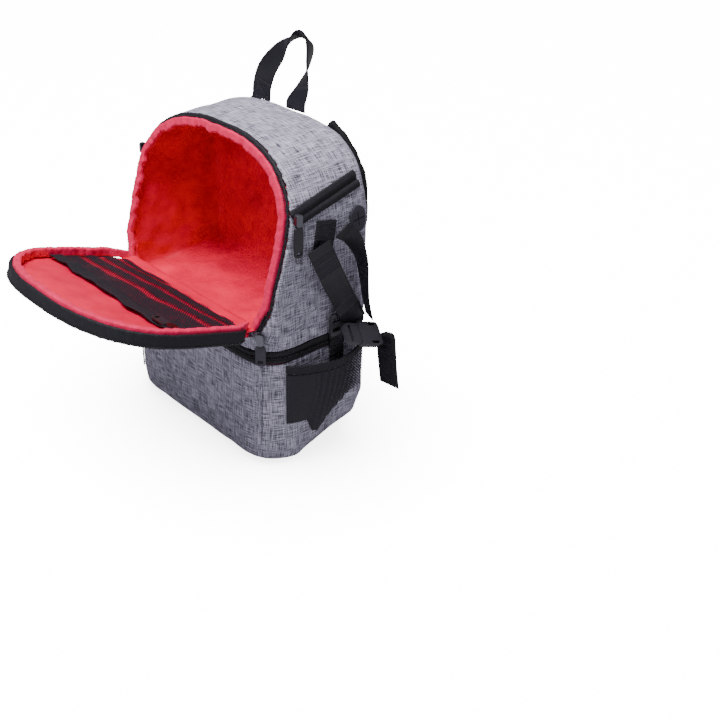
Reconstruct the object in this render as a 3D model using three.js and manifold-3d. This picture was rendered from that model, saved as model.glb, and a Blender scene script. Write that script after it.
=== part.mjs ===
// A two-deck camera backpack, standing on its base with the door of its upper deck folded down.
// Millimetres, +Z up, the front faces -Y, and the origin is the middle of the base.
// Grey canvas makes the outside of both decks, padded red lining the inside, and a zip joins the decks.
import * as THREE from 'three';
import { mergeVertices } from 'three/addons/utils/BufferGeometryUtils.js';
import Module from 'manifold-3d';

const wasm = await Module();
wasm.setup();

const degrees = THREE.MathUtils.degToRad;

// Driving sizes of the body.
const BODY_WIDTH = 270;
const BODY_DEPTH = 145;
const BODY_HEIGHT = 354;
const LOWER_HEIGHT = 130;
const MID_ZIP_HEIGHT = 14;
const ZIP_TILT = 0.03;
const SHOULDER_HEIGHT = 258;
const SHOULDER_BULGE = 1;
const ARCH_POWER = 2.5;
const BACK_HALF = 131;
const BACK_SHOULDER_HEIGHT = 265;
const BACK_ARCH_POWER = 3;
const FRONT_CORNER = 40;
const BACK_CORNER = 14;
const TOP_BACK_ROUND = 12;
const RIM_CORNER = 7;
const FRONT_LEAN = degrees(16);
const BASE_ROUND = 55;

// Walls: canvas outside, padded lining inside, and the gap between two pieces that touch.
const CANVAS = 3;
const PADDING = 5;
const GAP = 0.3;
const LINING_LIP = 9;

// The zip tape and the gathered binding round the opening.
const RIM_TAPE_WIDTH = 4;
const RIM_TAPE_DEPTH = 3;
const RIM_BINDING_WIDTH = 9;
const RIM_BINDING_PROUD = 3;

// The door. It turns on a fold in the canvas and stands a little above level when open.
const HINGE_HEIGHT = 172;
const DOOR_RISE = degrees(16);
const DOOR_START = -1.25;
const DOOR_EASE = 0.97;
const DOOR_TAPE_WALL = 3;
const DOOR_TAPE = { top: -6.5, bottom: 8 };
const DOOR_CANVAS = { top: 5.5, bottom: 8 };
const DOOR_LINING = { top: 0.2, bottom: 5.2 };
const DOOR_BINDING = { top: -10, bottom: -0.1 };
const DOOR_BINDING_WIDTH = 8;

// Net pocket on the inside of the door, and its zip: distances from the hinge.
const NET_START = 9;
const NET_END = 89;
const NET = { top: -1.5, bottom: -0.1 };
const NET_ZIP_END = 104;
const NET_ZIP = { top: -3.1, bottom: -0.1 };

// Pieces sewn on the sides of the upper deck, with their middles on the side.
const SIDE_ZIP = { y: 12, z: 300, length: 93, width: 17, thickness: 2.4, slope: degrees(13) };
const PORT = { y: 51, z: 270, width: 21, height: 29, thickness: 2.2, slit: 15, slitWidth: 1 };
const STRAP_TAB = { y: 6, z: 261, length: 36, width: 27, slope: degrees(78) };

// Net pockets on the sides of the lower deck.
const POCKET_START_TURN = degrees(18);
const POCKET_END_TURN = degrees(24);
const POCKET_BULGE = 14;
const POCKET_NET = 1.5;
const POCKET_BINDING = 10;
const POCKET_BINDING_THICKNESS = 2.6;
const POCKET_COLUMNS = 16;
const POCKET_ROWS = 4;

// Webbing, buckle and straps.
const WEBBING_WIDTH = 28;
const TAB_WIDTH = 20;
const WEBBING = 1.6;
const HANDLE_WIDTH = 31;
const HANDLE_THICKNESS = 2;
const BUCKLE = { width: 27, thickness: 9, socket: 31, clip: 20 };
const BUCKLE_PLACE = { out: 21, y: 43, z: 144, slope: degrees(-20), tilt: degrees(45) };
const TAB_RING = { width: 16, length: 26, thickness: 3, out: 6.4, y: 18, z: 159 };
const SHOULDER_STRAP_WIDTH = 56;
const SHOULDER_STRAP_THICKNESS = 8;
const LADDER = { width: 34, length: 24, thickness: 5, x: 68, out: 16.7, z: 143 };
const BACK_PAD = { half: 95, bottom: 178, top: 298, thickness: 4, corner: 20 };
const STRIP_HEIGHT = 38;
const STRIP_THICKNESS = 2;

// Zip sliders: a metal body with a pull on it.
const SLIDER = { width: 8, length: 13, thickness: 4.5 };
const PULL = { width: 11, length: 33, shortLength: 24, thickness: 2 };

const SIDE_SLIDER = { y: -31, below: 10 };
const OPENING_SLIDER = { inset: 10.5, back: 2.5, below: 7, turn: degrees(-52) };
const NET_SLIDER_INSET = 27;

// Padded dividers of the lower deck.
const DIVIDER = 7;
const DIVIDER_TOP = 112;
const FRONT_ROW_DEPTH = 48;
const FRONT_SPLIT = -0.28;

// Values worked out from the driving sizes.
const HALF_WIDTH = BODY_WIDTH / 2;
const FRONT_Y = -BODY_DEPTH / 2;
const BACK_Y = BODY_DEPTH / 2;
const UPPER_BOTTOM = LOWER_HEIGHT + MID_ZIP_HEIGHT;
const SILL_HEIGHT = HINGE_HEIGHT - UPPER_BOTTOM;
const WALL = CANVAS + GAP + PADDING;
const CORNER_STEPS = 5;
const ARCH_STEPS = 10;
const ARCH_END = degrees(84);

// Base edge of the lower deck, as shares of the base rounding: height, and inset at the front, at the
// sides in front and behind, and at the back.
const BASE_SECTIONS = [
  { height: 0, front: 0.2, side: 0.16, backSide: 0.62, back: 0.7 },
  { height: 0.07, front: 0.1, side: 0.09, backSide: 0.5, back: 0.56 },
  { height: 0.2, front: 0.03, side: 0.04, backSide: 0.32, back: 0.36 },
  { height: 0.5, front: 0, side: 0.01, backSide: 0.1, back: 0.13 },
  { height: 1, front: 0, side: 0, backSide: 0, back: 0 },
];

// Front corners of the upper deck: heights as shares of the sill, radius as a share of the lower corner.
const UPPER_CORNERS = [
  { share: 0, value: 1 },
  { share: 0.55, value: 0.8 },
  { share: 1.1, value: 0.46 },
  { share: 2, value: 0.18 },
];

// Lower and upper edge of a side pocket: shares of its length, heights as shares of the lower deck.
const POCKET_BOTTOM_EDGE = [
  { share: 0, value: 0.42 },
  { share: 0.26, value: 0.38 },
  { share: 0.32, value: 0.23 },
  { share: 0.4, value: 0.23 },
  { share: 0.52, value: 0.34 },
  { share: 0.8, value: 0.48 },
  { share: 1, value: 0.51 },
];
const POCKET_TOP_EDGE = [
  { share: 0, value: 0.985 },
  { share: 0.3, value: 0.955 },
  { share: 0.6, value: 0.925 },
  { share: 0.85, value: 0.95 },
  { share: 1, value: 0.98 },
];

// The zip band between the decks: two lips with the coil in a groove between them.
const MID_ZIP_PROFILE = [
  { height: 0, inset: 0.5 },
  { height: 0.2, inset: 0 },
  { height: 0.4, inset: 1.6 },
  { height: 0.6, inset: 1.6 },
  { height: 0.8, inset: 0 },
  { height: 1, inset: 0.5 },
];

// Webbing paths: points along the middle, and the way across the webbing at each point. Heights of the
// handle are over the crown; x of the side straps and y of the back ones are out from the body.
const HANDLE_PATH = [
  { x: -38, y: -9.5, z: -0.2, across: [1, 0, 0] },
  { x: -38, y: -7.5, z: 16, across: [1, 0, 0] },
  { x: -33, y: -3.5, z: 34, across: [1, 0, 0.03] },
  { x: -22, y: 4.5, z: 52, across: [0.98, -0.1, 0.15] },
  { x: -9, y: 12, z: 66, across: [0.85, -0.35, 0.4] },
  { x: 3, y: 17.5, z: 72, across: [0.62, -0.6, 0.5] },
  { x: 11, y: 19.5, z: 62, across: [0.55, -0.75, 0.2] },
  { x: 14, y: 13.5, z: 43, across: [0.65, -0.72, 0] },
  { x: 17, y: 3.5, z: 24, across: [0.9, -0.4, 0] },
  { x: 20, y: -7.5, z: 10, across: [1, -0.05, 0] },
  { x: 20.5, y: -9, z: 0.4, across: [1, 0, 0] },
];
const STRAP_FRONT_PATH = [
  { x: 7, y: -7, z: 256, across: [0.1, 0.86, 0.5] },
  { x: 10, y: -1, z: 240, across: [0.12, 0.86, 0.5] },
  { x: 13, y: 8, z: 218, across: [0.12, 0.87, 0.48] },
  { x: 13, y: 25, z: 186, across: [0.08, 0.93, 0.35] },
  { x: 9, y: 45, z: 154, across: [0, 0.96, -0.25] },
];
const STRAP_BACK_PATH = [
  { x: 6, y: 25, z: 266, across: [0.1, 0.35, 0.93] },
  { x: 11, y: 35, z: 256, across: [0.5, 0.25, 0.8] },
  { x: 12.5, y: 47, z: 230, across: [0.95, 0, 0.2] },
  { x: 12.5, y: 52, z: 203, across: [0.95, -0.25, 0.05] },
  { x: 13, y: 55, z: 180, across: [0.93, -0.35, 0.05] },
  { x: 14, y: 60, z: 158, across: [0.93, -0.35, 0] },
];
const STRAP_TAIL_PATH = [
  { x: 21, y: 67.7, z: 135.2, across: [0.8, 0.2, 0.5] },
  { x: 21.5, y: 76.5, z: 131, across: [0.9, 0.15, 0.35] },
  { x: 21.5, y: 80.5, z: 115, across: [0.98, 0.1, 0.15] },
  { x: 21, y: 84, z: 92, across: [0.99, 0.08, 0.1] },
  { x: 21, y: 88.7, z: 62.5, across: [0.99, 0.08, 0.1] },
];
const LOWER_TAB_PATH = [
  { x: 1.6, y: 24, z: 108, across: [0, 1, 0] },
  { x: 1.6, y: 24, z: 138, across: [0, 1, 0] },
  { x: 3.6, y: 21, z: 152, across: [0, 1, 0] },
];
const SHOULDER_PATH = [
  { x: 48, y: 4.5, z: 333, across: [0.8, 0, 0.6] },
  { x: 68, y: 9.5, z: 316, across: [0.82, 0, 0.57] },
  { x: 81, y: 14.5, z: 290, across: [0.95, 0, 0.3] },
  { x: 82, y: 16.5, z: 258, across: [1, 0, 0.02] },
  { x: 76, y: 15.5, z: 215, across: [1, 0, -0.1] },
  { x: 68, y: 13.5, z: 160, across: [1, 0, -0.08] },
];
const SHOULDER_WEBBING_PATH = [
  { x: 67, y: 13, z: 142, across: [1, 0, -0.1] },
  { x: 68, y: 9.5, z: 110, across: [1, 0, 0.05] },
  { x: 76, y: 4.5, z: 80, across: [0.97, 0, 0.22] },
  { x: 84, y: 1.5, z: 58, across: [0.97, 0, 0.24] },
];

// Where the paths above are measured from: the crown of the back, the right-hand side, and the back.
const FROM_CROWN = new THREE.Vector3(0, BACK_Y, BODY_HEIGHT);
const FROM_SIDE = new THREE.Vector3(HALF_WIDTH, 0, 0);
const FROM_BACK = new THREE.Vector3(0, BACK_Y, 0);

const material = (color, roughness, metalness = 0) =>
  new THREE.MeshStandardMaterial({ color, roughness, metalness });
const CANVAS_GREY = material(0x8d8a96, 0.95);
const LINING_RED = material(0xd81a2f, 0.7);
const BINDING_PINK = material(0xe8335a, 0.65);
const TAPE_BLACK = material(0x1b1b20, 0.8);
const NET_BLACK = material(0x17171a, 0.85);
const WEBBING_BLACK = material(0x1d1d24, 0.75);
const PAD_BLACK = material(0x202024, 0.9);
const PLASTIC_BLACK = material(0x1a1a1c, 0.45);
const SLIDER_METAL = material(0x3a3a3f, 0.35, 0.9);
const RUBBER_GREY = material(0x34323c, 0.8);

const parts = new THREE.Group();

const vec = (x, y, z) => new THREE.Vector3(x, y, z);

function place(name, geometry, finish, parent = parts) {
  const piece = new THREE.Mesh(geometry, finish.clone());
  piece.name = name;
  parent.add(piece);
}

// Reads a table of shares and values, straight between its rows.
function lookup(table, share) {
  const next = table.findIndex((row) => row.share >= share);
  if (next === 0) return table[0].value;
  if (next < 0) return table[table.length - 1].value;
  const [a, b] = [table[next - 1], table[next]];
  return THREE.MathUtils.lerp(a.value, b.value, (share - a.share) / (b.share - a.share));
}

// Turns a closed geometry so that its faces point outwards.
function outward(geometry) {
  const at = geometry.attributes.position;
  const index = geometry.index.array;
  const [a, b, c] = [vec(0, 0, 0), vec(0, 0, 0), vec(0, 0, 0)];
  let volume = 0;
  for (let i = 0; i < index.length; i += 3) {
    a.fromBufferAttribute(at, index[i]);
    b.fromBufferAttribute(at, index[i + 1]);
    c.fromBufferAttribute(at, index[i + 2]);
    volume += a.dot(b.cross(c));
  }
  if (volume < 0) {
    for (let i = 0; i < index.length; i += 3) [index[i], index[i + 1]] = [index[i + 1], index[i]];
  }
  return geometry;
}

const mirrored = (geometry) => outward(geometry.clone().scale(-1, 1, 1));

// Triangles that close one flat ring of points.
function capTriangles(ring) {
  const normal = vec(0, 0, 0);
  ring.forEach((p, i) => normal.add(p.clone().cross(ring[(i + 1) % ring.length])));
  normal.normalize();
  const along = ring[1].clone().sub(ring[0]).normalize();
  const across = normal.clone().cross(along);
  const flat = ring.map((p) => new THREE.Vector2(p.dot(along), p.dot(across)));
  return THREE.ShapeUtils.triangulateShape(flat, []);
}

// Skins a row of rings, each with the same number of points, and closes both ends.
function loft(rings) {
  const count = rings[0].length;
  const last = (rings.length - 1) * count;
  const index = [];
  for (let r = 0; r < last; r += count) {
    for (let i = 0; i < count; i++) {
      const next = (i + 1) % count;
      index.push(r + i, r + next, r + next + count, r + i, r + next + count, r + i + count);
    }
  }
  for (const [a, b, c] of capTriangles(rings[0])) index.push(a, c, b);
  for (const [a, b, c] of capTriangles(rings[rings.length - 1])) index.push(last + a, last + b, last + c);
  const positions = rings.flat().flatMap((p) => p.toArray());
  const geometry = new THREE.BufferGeometry();
  geometry.setAttribute('position', new THREE.Float32BufferAttribute(positions, 3));
  geometry.setIndex(index);
  return outward(geometry);
}

function solid(geometry) {
  const bare = geometry.clone();
  bare.deleteAttribute('normal');
  bare.deleteAttribute('uv');
  const merged = mergeVertices(bare, 1e-4);
  return new wasm.Manifold(
    new wasm.Mesh({
      numProp: 3,
      vertProperties: new Float32Array(merged.attributes.position.array),
      triVerts: new Uint32Array(merged.index.array),
    }),
  );
}

function geometryOf(shape) {
  const made = shape.getMesh();
  const geometry = new THREE.BufferGeometry();
  geometry.setAttribute('position', new THREE.BufferAttribute(new Float32Array(made.vertProperties), 3));
  geometry.setIndex(new THREE.BufferAttribute(new Uint32Array(made.triVerts), 1));
  return geometry;
}

function box(x, y, z) {
  const geometry = new THREE.BoxGeometry(x[1] - x[0], y[1] - y[0], z[1] - z[0]);
  return geometry.translate((x[0] + x[1]) / 2, (y[0] + y[1]) / 2, (z[0] + z[1]) / 2);
}

// One level cut through the bag: a rectangle with round corners, rising towards the back by its tilt.
function section({ z, front, back, half, backHalf = half, frontRadius, backRadius, tilt = 0 }) {
  const ring = [];
  const corner = (side, forward, start) => {
    const wide = forward ? half : backHalf;
    const r = Math.min(forward ? frontRadius : backRadius, wide - 0.5);
    const middle = vec(side * (wide - r), forward ? front + r : back - r, z);
    for (let i = 0; i <= CORNER_STEPS; i++) {
      const a = start + (Math.PI / 2) * (i / CORNER_STEPS);
      const point = middle.clone().add(vec(r * Math.cos(a), r * Math.sin(a), 0));
      point.z += tilt * (point.y - FRONT_Y);
      ring.push(point);
    }
  };
  corner(1, true, -Math.PI / 2);
  corner(1, false, 0);
  corner(-1, false, Math.PI / 2);
  corner(-1, true, Math.PI);
  return ring;
}

// The plan of the bag at the zip between the decks, inset all round and further at its edges.
const NO_EDGE = { front: 0, side: 0, backSide: 0, back: 0 };
function planAt(z, inset, tilt, edge = NO_EDGE) {
  return section({
    z,
    half: HALF_WIDTH - inset - edge.side,
    backHalf: HALF_WIDTH - inset - edge.backSide,
    front: FRONT_Y + inset + edge.front,
    back: BACK_Y - inset - edge.back,
    frontRadius: Math.max(FRONT_CORNER - inset, 2),
    backRadius: Math.max(BACK_CORNER - inset, 2),
    tilt,
  });
}

// The lower deck, inset all round.
function lowerBody(inset, bottom, top) {
  const rings = BASE_SECTIONS.map((s) => planAt(bottom + s.height * BASE_ROUND, inset, 0, {
    front: s.front * BASE_ROUND,
    side: s.side * BASE_ROUND,
    backSide: s.backSide * BASE_ROUND,
    back: s.back * BASE_ROUND,
  }));
  rings.push(planAt(top, inset, ZIP_TILT));
  return loft(rings);
}

const frontAt = (z) => FRONT_Y + Math.max(z - HINGE_HEIGHT, 0) * Math.tan(FRONT_LEAN);
const frontRadiusAt = (z) => FRONT_CORNER * lookup(UPPER_CORNERS, (z - UPPER_BOTTOM) / SILL_HEIGHT);

function backAt(z) {
  const into = Math.max(z - (BODY_HEIGHT - TOP_BACK_ROUND), 0);
  return BACK_Y - (TOP_BACK_ROUND - Math.sqrt(Math.max(TOP_BACK_ROUND ** 2 - into ** 2, 0)));
}

function backHalfAt(z) {
  const share = Math.max(z - BACK_SHOULDER_HEIGHT, 0) / (BODY_HEIGHT - BACK_SHOULDER_HEIGHT);
  const straight = THREE.MathUtils.mapLinear(Math.min(z, BACK_SHOULDER_HEIGHT), UPPER_BOTTOM,
    BACK_SHOULDER_HEIGHT, HALF_WIDTH, BACK_HALF);
  return straight * Math.max(1 - share ** BACK_ARCH_POWER, 0) ** (1 / BACK_ARCH_POWER);
}

function halfBelowShoulder(z) {
  const share = Math.max(z - UPPER_BOTTOM, 0) / (SHOULDER_HEIGHT - UPPER_BOTTOM);
  return HALF_WIDTH + SHOULDER_BULGE * Math.min(share, 1);
}

// Half the width of the arch at a height over the shoulder.
function archHalfAt(z) {
  const share = (z - SHOULDER_HEIGHT) / (BODY_HEIGHT - SHOULDER_HEIGHT);
  return (HALF_WIDTH + SHOULDER_BULGE) * (1 - share ** ARCH_POWER) ** (1 / ARCH_POWER);
}

// Heights and half widths of the upper deck from a start height up over the arch. Each level keeps the
// height that it has on the outside.
function archProfile(start, inset) {
  const heights = UPPER_CORNERS.map((s) => UPPER_BOTTOM + s.share * SILL_HEIGHT);
  heights.push((heights[heights.length - 1] + SHOULDER_HEIGHT) / 2);
  const straight = [start, ...heights.filter((z) => z > start + 1)];
  const levels = straight.map((z) => ({ z, outside: z, half: halfBelowShoulder(z) - inset }));
  for (let i = 0; i <= ARCH_STEPS; i++) {
    const a = ARCH_END * (i / ARCH_STEPS);
    const rise = Math.sin(a) ** (2 / ARCH_POWER);
    levels.push({
      z: SHOULDER_HEIGHT + (BODY_HEIGHT - SHOULDER_HEIGHT - inset) * rise,
      outside: SHOULDER_HEIGHT + (BODY_HEIGHT - SHOULDER_HEIGHT) * rise,
      half: (HALF_WIDTH + SHOULDER_BULGE - inset) * Math.cos(a) ** (2 / ARCH_POWER),
    });
  }
  return levels;
}

// The upper deck, inset all round.
function upperBody(inset) {
  return loft(archProfile(UPPER_BOTTOM + inset, inset).map(({ z, outside, half }) => {
    const fall = (SHOULDER_HEIGHT - z) / (SHOULDER_HEIGHT - UPPER_BOTTOM - inset);
    const fade = THREE.MathUtils.clamp(fall, 0, 1);
    return section({
      z,
      half,
      backHalf: Math.max(backHalfAt(outside) - inset, half),
      front: frontAt(z) + inset / Math.cos(FRONT_LEAN),
      back: backAt(outside) - inset,
      frontRadius: Math.max(frontRadiusAt(z) - inset, 1.5),
      backRadius: Math.max(BACK_CORNER - inset, 2),
      tilt: ZIP_TILT * fade,
    });
  }));
}

// Outline of the opening and of its door, in the plane of the front, measured up from the hinge.
function archOutline(inset, start) {
  const right = archProfile(HINGE_HEIGHT, 0)
    .map(({ z, half }) => ({
      across: half - Math.max(frontRadiusAt(z) - RIM_CORNER, 0),
      up: (z - HINGE_HEIGHT) / Math.cos(FRONT_LEAN),
    }));
  const middle = (SHOULDER_HEIGHT - HINGE_HEIGHT) / Math.cos(FRONT_LEAN);
  const top = right[right.length - 1].up;
  const points = right.map(({ across, up }) => new THREE.Vector2(
    across * (1 - inset / HALF_WIDTH),
    up > middle ? middle + (up - middle) * (1 - inset / (top - middle)) : up,
  ));
  points[0].y = start;
  const kept = points.filter((p, i) => i === 0 || p.y > start + 1);
  const left = kept.map((p) => new THREE.Vector2(-p.x, p.y)).reverse();
  return new THREE.Shape([...kept, ...left]);
}

const DOORWAY_REACH = 60;
const FROM_HINGE = new THREE.Matrix4()
  .makeTranslation(0, FRONT_Y, HINGE_HEIGHT)
  .multiply(new THREE.Matrix4().makeRotationX(-FRONT_LEAN));

// What is cut away to open the front.
function doorway(inset, start = 0) {
  const reach = { depth: 2 * DOORWAY_REACH, bevelEnabled: false };
  const shape = new THREE.ExtrudeGeometry(archOutline(inset, start), reach);
  shape.translate(0, 0, -DOORWAY_REACH).rotateX(Math.PI / 2);
  return solid(shape.applyMatrix4(FROM_HINGE));
}

// A slab along the leaning front plane, from one depth behind it to another.
function frontSlab(from, to, start = 0) {
  return solid(box([-BODY_WIDTH, BODY_WIDTH], [from, to], [start, BODY_HEIGHT]).applyMatrix4(FROM_HINGE));
}

// Canvas and lining of the upper deck, and the two bands round its opening.
const upperOuter = solid(upperBody(0));
function upperDeck() {
  const frontCut = frontSlab(-DOORWAY_REACH, RIM_TAPE_DEPTH + GAP, -GAP);
  const inside = doorway(WALL);
  const canvas = upperOuter.subtract(solid(upperBody(CANVAS))).subtract(frontCut).subtract(inside);
  const lining = solid(upperBody(CANVAS + GAP))
    .subtract(solid(upperBody(WALL)))
    .subtract(frontCut)
    .subtract(inside);
  const tape = upperOuter
    .intersect(frontSlab(-1, RIM_TAPE_DEPTH))
    .subtract(doorway(RIM_TAPE_WIDTH, -1));
  const binding = doorway(RIM_TAPE_WIDTH + GAP)
    .intersect(frontSlab(-RIM_BINDING_PROUD, RIM_TAPE_DEPTH))
    .subtract(doorway(RIM_TAPE_WIDTH + GAP + RIM_BINDING_WIDTH, -1));
  place('upper_shell', geometryOf(canvas), CANVAS_GREY);
  place('upper_lining', geometryOf(lining), LINING_RED);
  place('opening_zip_tape', geometryOf(tape), TAPE_BLACK);
  place('opening_binding', geometryOf(binding), BINDING_PINK);
}

// Canvas and padded lining of the lower deck. The lining stands up inside the zip band.
function lowerDeck() {
  const over = LOWER_HEIGHT + BODY_DEPTH;
  const canvas = solid(lowerBody(0, 0, LOWER_HEIGHT)).subtract(solid(lowerBody(CANVAS, CANVAS, over)));
  const lining = solid(lowerBody(CANVAS + GAP, CANVAS + GAP, LOWER_HEIGHT + LINING_LIP))
    .subtract(solid(lowerBody(WALL, WALL, over)));
  place('lower_shell', geometryOf(canvas), CANVAS_GREY);
  place('lower_lining', geometryOf(lining), LINING_RED);
}

function midZip() {
  const height = MID_ZIP_HEIGHT - 2 * GAP;
  const outer = MID_ZIP_PROFILE.map(
    (s) => planAt(LOWER_HEIGHT + GAP + s.height * height, s.inset, ZIP_TILT),
  );
  const inner = [planAt(LOWER_HEIGHT - 1, CANVAS, ZIP_TILT), planAt(UPPER_BOTTOM + 1, CANVAS, ZIP_TILT)];
  place('mid_zip', geometryOf(solid(loft(outer)).subtract(solid(loft(inner)))), TAPE_BLACK);
}

// Padded dividers: one long one, two behind it and one in front.
function dividers() {
  const inside = solid(lowerBody(WALL + GAP, WALL + GAP, LOWER_HEIGHT));
  const front = FRONT_Y + WALL + GAP;
  const longY = front + FRONT_ROW_DEPTH;
  const side = HALF_WIDTH - WALL - GAP;
  const wall = (name, x, y) => {
    const whole = solid(box(x, y, [0, DIVIDER_TOP]));
    place(name, geometryOf(whole.intersect(inside)), LINING_RED);
  };
  const across = (name, x, y) => wall(name, [x - DIVIDER / 2, x + DIVIDER / 2], y);
  wall('divider_long', [-HALF_WIDTH, HALF_WIDTH], [longY, longY + DIVIDER]);
  across('divider_back_left', -side / 3, [longY + DIVIDER + GAP, BACK_Y]);
  across('divider_back_right', side / 3, [longY + DIVIDER + GAP, BACK_Y]);
  across('divider_front', side * FRONT_SPLIT, [FRONT_Y, longY - GAP]);
}

// The open door: canvas below, lining above, a zip tape round its edge and a gathered binding on it.
const door = new THREE.Group();
door.position.set(0, FRONT_Y, HINGE_HEIGHT);
door.rotation.x = Math.PI - DOOR_RISE;
parts.add(door);

function doorLayer(inset, layer, start) {
  const shape = archOutline(inset, start);
  const depth = layer.bottom - layer.top;
  const whole = new THREE.ExtrudeGeometry(shape, { depth, bevelEnabled: false });
  return solid(whole.scale(DOOR_EASE, DOOR_EASE, 1).translate(0, 0, layer.top));
}

function doorPieces() {
  const put = (name, shape, finish) => place(name, geometryOf(shape), finish, door);
  const within = DOOR_TAPE_WALL + GAP;
  const wide = [-BODY_WIDTH, BODY_WIDTH];
  const between = (from, to) => solid(box(wide, [from, to], wide));
  const through = { top: DOOR_TAPE.top - 1, bottom: DOOR_TAPE.bottom + 1 };
  const tapeInside = doorLayer(DOOR_TAPE_WALL, through, -1);
  const bindingInner = within + DOOR_BINDING_WIDTH;
  const bindingInside = doorLayer(bindingInner, { top: DOOR_BINDING.top - 1, bottom: 1 }, -1);
  const bindingStart = NET_START - 2;
  put('door_zip_tape', doorLayer(0, DOOR_TAPE, bindingStart).subtract(tapeInside), TAPE_BLACK);
  put('door_canvas', doorLayer(within, DOOR_CANVAS, DOOR_START), CANVAS_GREY);
  put('door_lining', doorLayer(within, DOOR_LINING, bindingStart), LINING_RED);
  put('door_binding', doorLayer(within, DOOR_BINDING, bindingStart).subtract(bindingInside), BINDING_PINK);
  const inner = bindingInner + GAP;
  put('door_net', doorLayer(inner, NET, 0).intersect(between(NET_START, NET_END)), NET_BLACK);
  const zipBand = between(NET_END + GAP, NET_ZIP_END);
  put('door_net_zip', doorLayer(inner, NET_ZIP, 0).intersect(zipBand), TAPE_BLACK);
}

// A piece that lies on the outside of the upper deck: the part of its skin that a cutter takes.
function skin(cutter, thickness) {
  return solid(upperBody(-GAP - thickness)).subtract(solid(upperBody(-GAP))).intersect(cutter);
}

// A bar that crosses the right-hand side at a place, turned by a slope.
function sideBar({ y, z, slope }, length, width) {
  const bar = box([HALF_WIDTH / 2, BODY_WIDTH], [-length / 2, length / 2], [-width / 2, width / 2]);
  return solid(bar.rotateX(slope).translate(0, y, z));
}

function sidePieces() {
  const zip = geometryOf(skin(sideBar(SIDE_ZIP, SIDE_ZIP.length, SIDE_ZIP.width), SIDE_ZIP.thickness));
  place('side_zip_right', zip, TAPE_BLACK);
  place('side_zip_left', mirrored(zip), TAPE_BLACK);
  const oval = new THREE.CylinderGeometry(0.5, 0.5, HALF_WIDTH, 20).rotateZ(Math.PI / 2);
  oval.scale(1, PORT.width, PORT.height).translate(HALF_WIDTH, PORT.y, PORT.z);
  const slits = [degrees(8), degrees(98)].map(
    (slope) => sideBar({ ...PORT, slope }, PORT.slit, PORT.slitWidth),
  );
  const port = skin(solid(oval), PORT.thickness).subtract(slits[0]).subtract(slits[1]);
  place('port', geometryOf(port), RUBBER_GREY);
  const tab = skin(sideBar(STRAP_TAB, STRAP_TAB.length, STRAP_TAB.width), WEBBING);
  place('strap_tab', geometryOf(tab), WEBBING_BLACK);
}

// Webbing: a flat band that follows a path.
function ribbon(path, from, width, thickness, samples) {
  const middle = new THREE.CatmullRomCurve3(path.map((p) => vec(p.x, p.y, p.z).add(from)));
  const crossing = new THREE.CatmullRomCurve3(path.map((p) => vec(...p.across)));
  const rings = [];
  for (let i = 0; i <= samples; i++) {
    const at = middle.getPoint(i / samples);
    const along = middle.getTangent(i / samples);
    const through = crossing.getPoint(i / samples).cross(along).normalize();
    const across = along.clone().cross(through).multiplyScalar(width / 2);
    through.multiplyScalar(thickness / 2);
    rings.push([[1, 1], [-1, 1], [-1, -1], [1, -1]].map(
      ([a, t]) => at.clone().addScaledVector(across, a).addScaledVector(through, t),
    ));
  }
  return loft(rings);
}

function zipSliders() {
  const down = vec(0, 0, -1);
  const height = SIDE_ZIP.z - SIDE_SLIDER.below;
  const reach = archHalfAt(height - SLIDER.length / 2) + SIDE_ZIP.thickness;
  const onSide = vec(reach, SIDE_SLIDER.y, height);
  const side = zipSlider('side_zip_right', onSide, vec(1, 0, 0), down, PULL.length);
  for (const [piece, geometry, finish] of side) {
    place(piece.replace('right', 'left'), mirrored(geometry), finish);
  }
  const out = vec(Math.cos(OPENING_SLIDER.turn), Math.sin(OPENING_SLIDER.turn), 0);
  const atHinge = vec(HALF_WIDTH - OPENING_SLIDER.inset, FRONT_Y + OPENING_SLIDER.back,
    HINGE_HEIGHT - OPENING_SLIDER.below);
  zipSlider('opening', atHinge, out, down, PULL.shortLength);
  const onNet = vec(HALF_WIDTH - NET_SLIDER_INSET, NET_ZIP_END - 7, NET_ZIP.top);
  zipSlider('door_net', onNet, vec(0, 0, -1), vec(-1, 0, 0), PULL.shortLength, door);
}

function bothSides(name, geometry, finish) {
  place(name + '_right', geometry, finish);
  place(name + '_left', mirrored(geometry), finish);
}

function webbingPieces() {
  place('handle', ribbon(HANDLE_PATH, FROM_CROWN, HANDLE_WIDTH, HANDLE_THICKNESS, 36), WEBBING_BLACK);
  const front = ribbon(STRAP_FRONT_PATH, FROM_SIDE, WEBBING_WIDTH, WEBBING, 16);
  place('side_strap_front', front, WEBBING_BLACK);
  const back = ribbon(STRAP_BACK_PATH, FROM_SIDE, TAB_WIDTH, WEBBING, 16);
  place('side_strap_back', back, WEBBING_BLACK);
  place('strap_tail', ribbon(STRAP_TAIL_PATH, FROM_SIDE, WEBBING_WIDTH, WEBBING, 12), WEBBING_BLACK);
  place('lower_tab', ribbon(LOWER_TAB_PATH, FROM_SIDE, TAB_WIDTH, WEBBING, 4), WEBBING_BLACK);
  const strap = ribbon(SHOULDER_PATH, FROM_BACK, SHOULDER_STRAP_WIDTH, SHOULDER_STRAP_THICKNESS, 14);
  bothSides('shoulder_strap', strap, PAD_BLACK);
  const webbing = ribbon(SHOULDER_WEBBING_PATH, FROM_BACK, WEBBING_WIDTH, WEBBING, 10);
  bothSides('shoulder_webbing', webbing, WEBBING_BLACK);
}

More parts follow.
